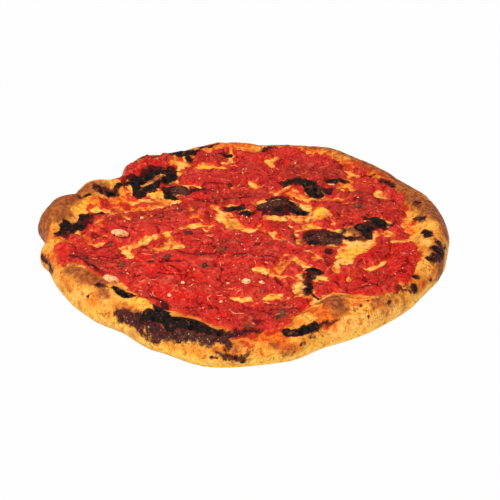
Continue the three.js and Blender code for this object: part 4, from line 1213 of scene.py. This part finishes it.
def strand(length, bend, thickness, seed):
    """A curled strand: a tube along a bent line, pointed at both ends."""
    share = np.arange(STRAND_STEPS + 1) / STRAND_STEPS
    wavy = noise(1, seed, share * 2.5, np.full_like(share, seed * 1.7))
    heading = bend * (share - 0.5) + 0.8 * wavy
    path_x = np.cumsum(np.cos(heading)) * length / STRAND_STEPS
    path_y = np.cumsum(np.sin(heading)) * length / STRAND_STEPS
    path_x, path_y = path_x - path_x.mean(), path_y - path_y.mean()
    width = thickness / 2 * np.sin(math.pi * np.clip(share, 0.06, 0.94)) ** 0.6
    tube = []
    for turn in (2 * math.pi * side / STRAND_SIDES for side in range(STRAND_SIDES)):
        out = width * math.cos(turn)
        across = path_x - np.sin(heading) * out, path_y + np.cos(heading) * out
        tube.append(np.column_stack([*across, width * math.sin(turn)]))
    triangles = []
    for row in range(STRAND_STEPS):
        for side in range(STRAND_SIDES):
            here, beside = row * STRAND_SIDES + side, row * STRAND_SIDES + (side + 1) % STRAND_SIDES
            triangles.append([here, beside, beside + STRAND_SIDES])
            triangles.append([here, beside + STRAND_SIDES, here + STRAND_SIDES])
    for end, way in ((0, -1), (STRAND_STEPS * STRAND_SIDES, 1)):
        for side in range(1, STRAND_SIDES - 1):
            triangles.append([end, end + side, end + side + 1][::way])
    return np.stack(tube, 1).reshape(-1, 3), np.array(triangles)


def make_fibres(material):
    """Strands laid over the tomato, each point of a strand set down on the surface under it."""
    chance = np.random.default_rng(5)
    shapes = []
    while len(shapes) < FIBRE_COUNT:
        x, y = random_place(chance, FIBRE_REACH)
        length, bend = chance.uniform(*FIBRE_LENGTHS), chance.uniform(-2.6, 2.6)
        thickness, turn = chance.uniform(0.55, 1.0), chance.uniform(0, 2 * math.pi)
        if cover_at(x, y) < length / 3 or crowd_at(20, 97, x, y) < chance.uniform(-0.9, 0.5):
            continue
        points, triangles = strand(length, bend, thickness, 300 + len(shapes))
        cos, sin = math.cos(turn), math.sin(turn)
        at_x = x + points[:, 0] * cos - points[:, 1] * sin
        at_y = y + points[:, 0] * sin + points[:, 1] * cos
        level = surface_at(at_x, at_y) + points[:, 2] + 0.1
        shapes.append((np.column_stack([at_x, at_y, level]), triangles))
    add_piece("tomato_fibres", *joined(shapes), material, "tomato")


def make_grains(material):
    chance = np.random.default_rng(11)
    shapes = []
    while len(shapes) < GRAIN_COUNT:
        x, y = random_place(chance, GRAIN_REACH)
        size, turn = chance.uniform(*GRAIN_SIZES), chance.uniform(0, 180)
        if cover_at(x, y) < 0.5 or crowd_at(22, 95, x, y) < chance.uniform(-0.8, 0.8):
            continue
        points, triangles = ball(4, 6)
        uneven = 1 + 0.125 * chance.standard_normal((len(points), 1))
        points = points * size * GRAIN_SHAPE * uneven
        shapes.append((laid(points, x, y, turn, 0.15), triangles))
    add_piece("salt_grains", *joined(shapes), material, "garlic")


# ---------------------------------------------------------------- camera, floor and lights

CAMERA_DISTANCE = 950 * MM
CAMERA_DOWN = 31  # degrees below level
CAMERA_LENS = 93.7  # millimetres
CAMERA_TARGET = Vector((1, -17, 10)) * MM
VIEW_MOVED = (4.74, 1.46)  # right and up, millimetres at the target


def make_camera():
    down = math.radians(CAMERA_DOWN)
    forward = Vector((0, math.cos(down), -math.sin(down)))
    up = Vector((0, math.sin(down), math.cos(down)))
    camera = bpy.data.objects.new("camera", bpy.data.cameras.new("camera"))
    camera.data.lens = CAMERA_LENS
    camera.data.sensor_width = 36
    camera.data.clip_start = 0.05
    camera.rotation_euler = (math.radians(90 - CAMERA_DOWN), 0, 0)
    moved = Vector((1, 0, 0)) * VIEW_MOVED[0] * MM + up * VIEW_MOVED[1] * MM
    camera.location = CAMERA_TARGET - forward * CAMERA_DISTANCE + moved
    bpy.context.scene.collection.objects.link(camera)
    bpy.context.scene.camera = camera


def make_floor():
    """A floor that glows, so that no shadow shows on it."""
    glow = {"Emission_Color": (1, 1, 1, 1), "Emission_Strength": 0.99}
    material = Shader("pale_floor", 1.0, Specular_IOR_Level=0, **glow).finish((2, 2, 2))
    bpy.ops.mesh.primitive_plane_add(size=12, location=(0, 0, -0.0002))
    floor = bpy.context.object
    floor.name = "floor"
    floor.data.materials.append(material)


def make_light(name, place, size, power, aim=(0, 0, 0.01)):
    light = bpy.data.objects.new(name, bpy.data.lights.new(name, "AREA"))
    light.data.shape = "RECTANGLE"
    light.data.size, light.data.size_y = size
    light.data.energy = power
    light.location = place
    light.rotation_euler = (Vector(aim) - Vector(place)).to_track_quat("-Z", "Y").to_euler()
    bpy.context.scene.collection.objects.link(light)


def make_lights():
    make_light("key", (-0.75, -0.45, 1.25), (0.35, 0.35), 24)
    make_light("fill", (0.5, -1.4, 0.55), (0.9, 0.6), 12)
    make_light("back", (0.5, 0.9, 1.3), (0.5, 0.3), 6)
    world = bpy.data.worlds.new("studio")
    world.use_nodes = True
    world.node_tree.nodes["Background"].inputs["Color"].default_value = (1, 1, 1, 1)
    world.node_tree.nodes["Background"].inputs["Strength"].default_value = 0.3
    bpy.context.scene.world = world
    bpy.context.scene.view_settings.view_transform = "Standard"


# ---------------------------------------------------------------- the whole

make_camera()
make_floor()
make_lights()
make_bread(dough_material())
make_tomato(tomato_material())
garlic = garlic_material()
make_garlic(garlic)
make_crumbs(garlic)
make_herbs(herb_material())
make_fibres(fibre_material())
make_grains(grain_material())
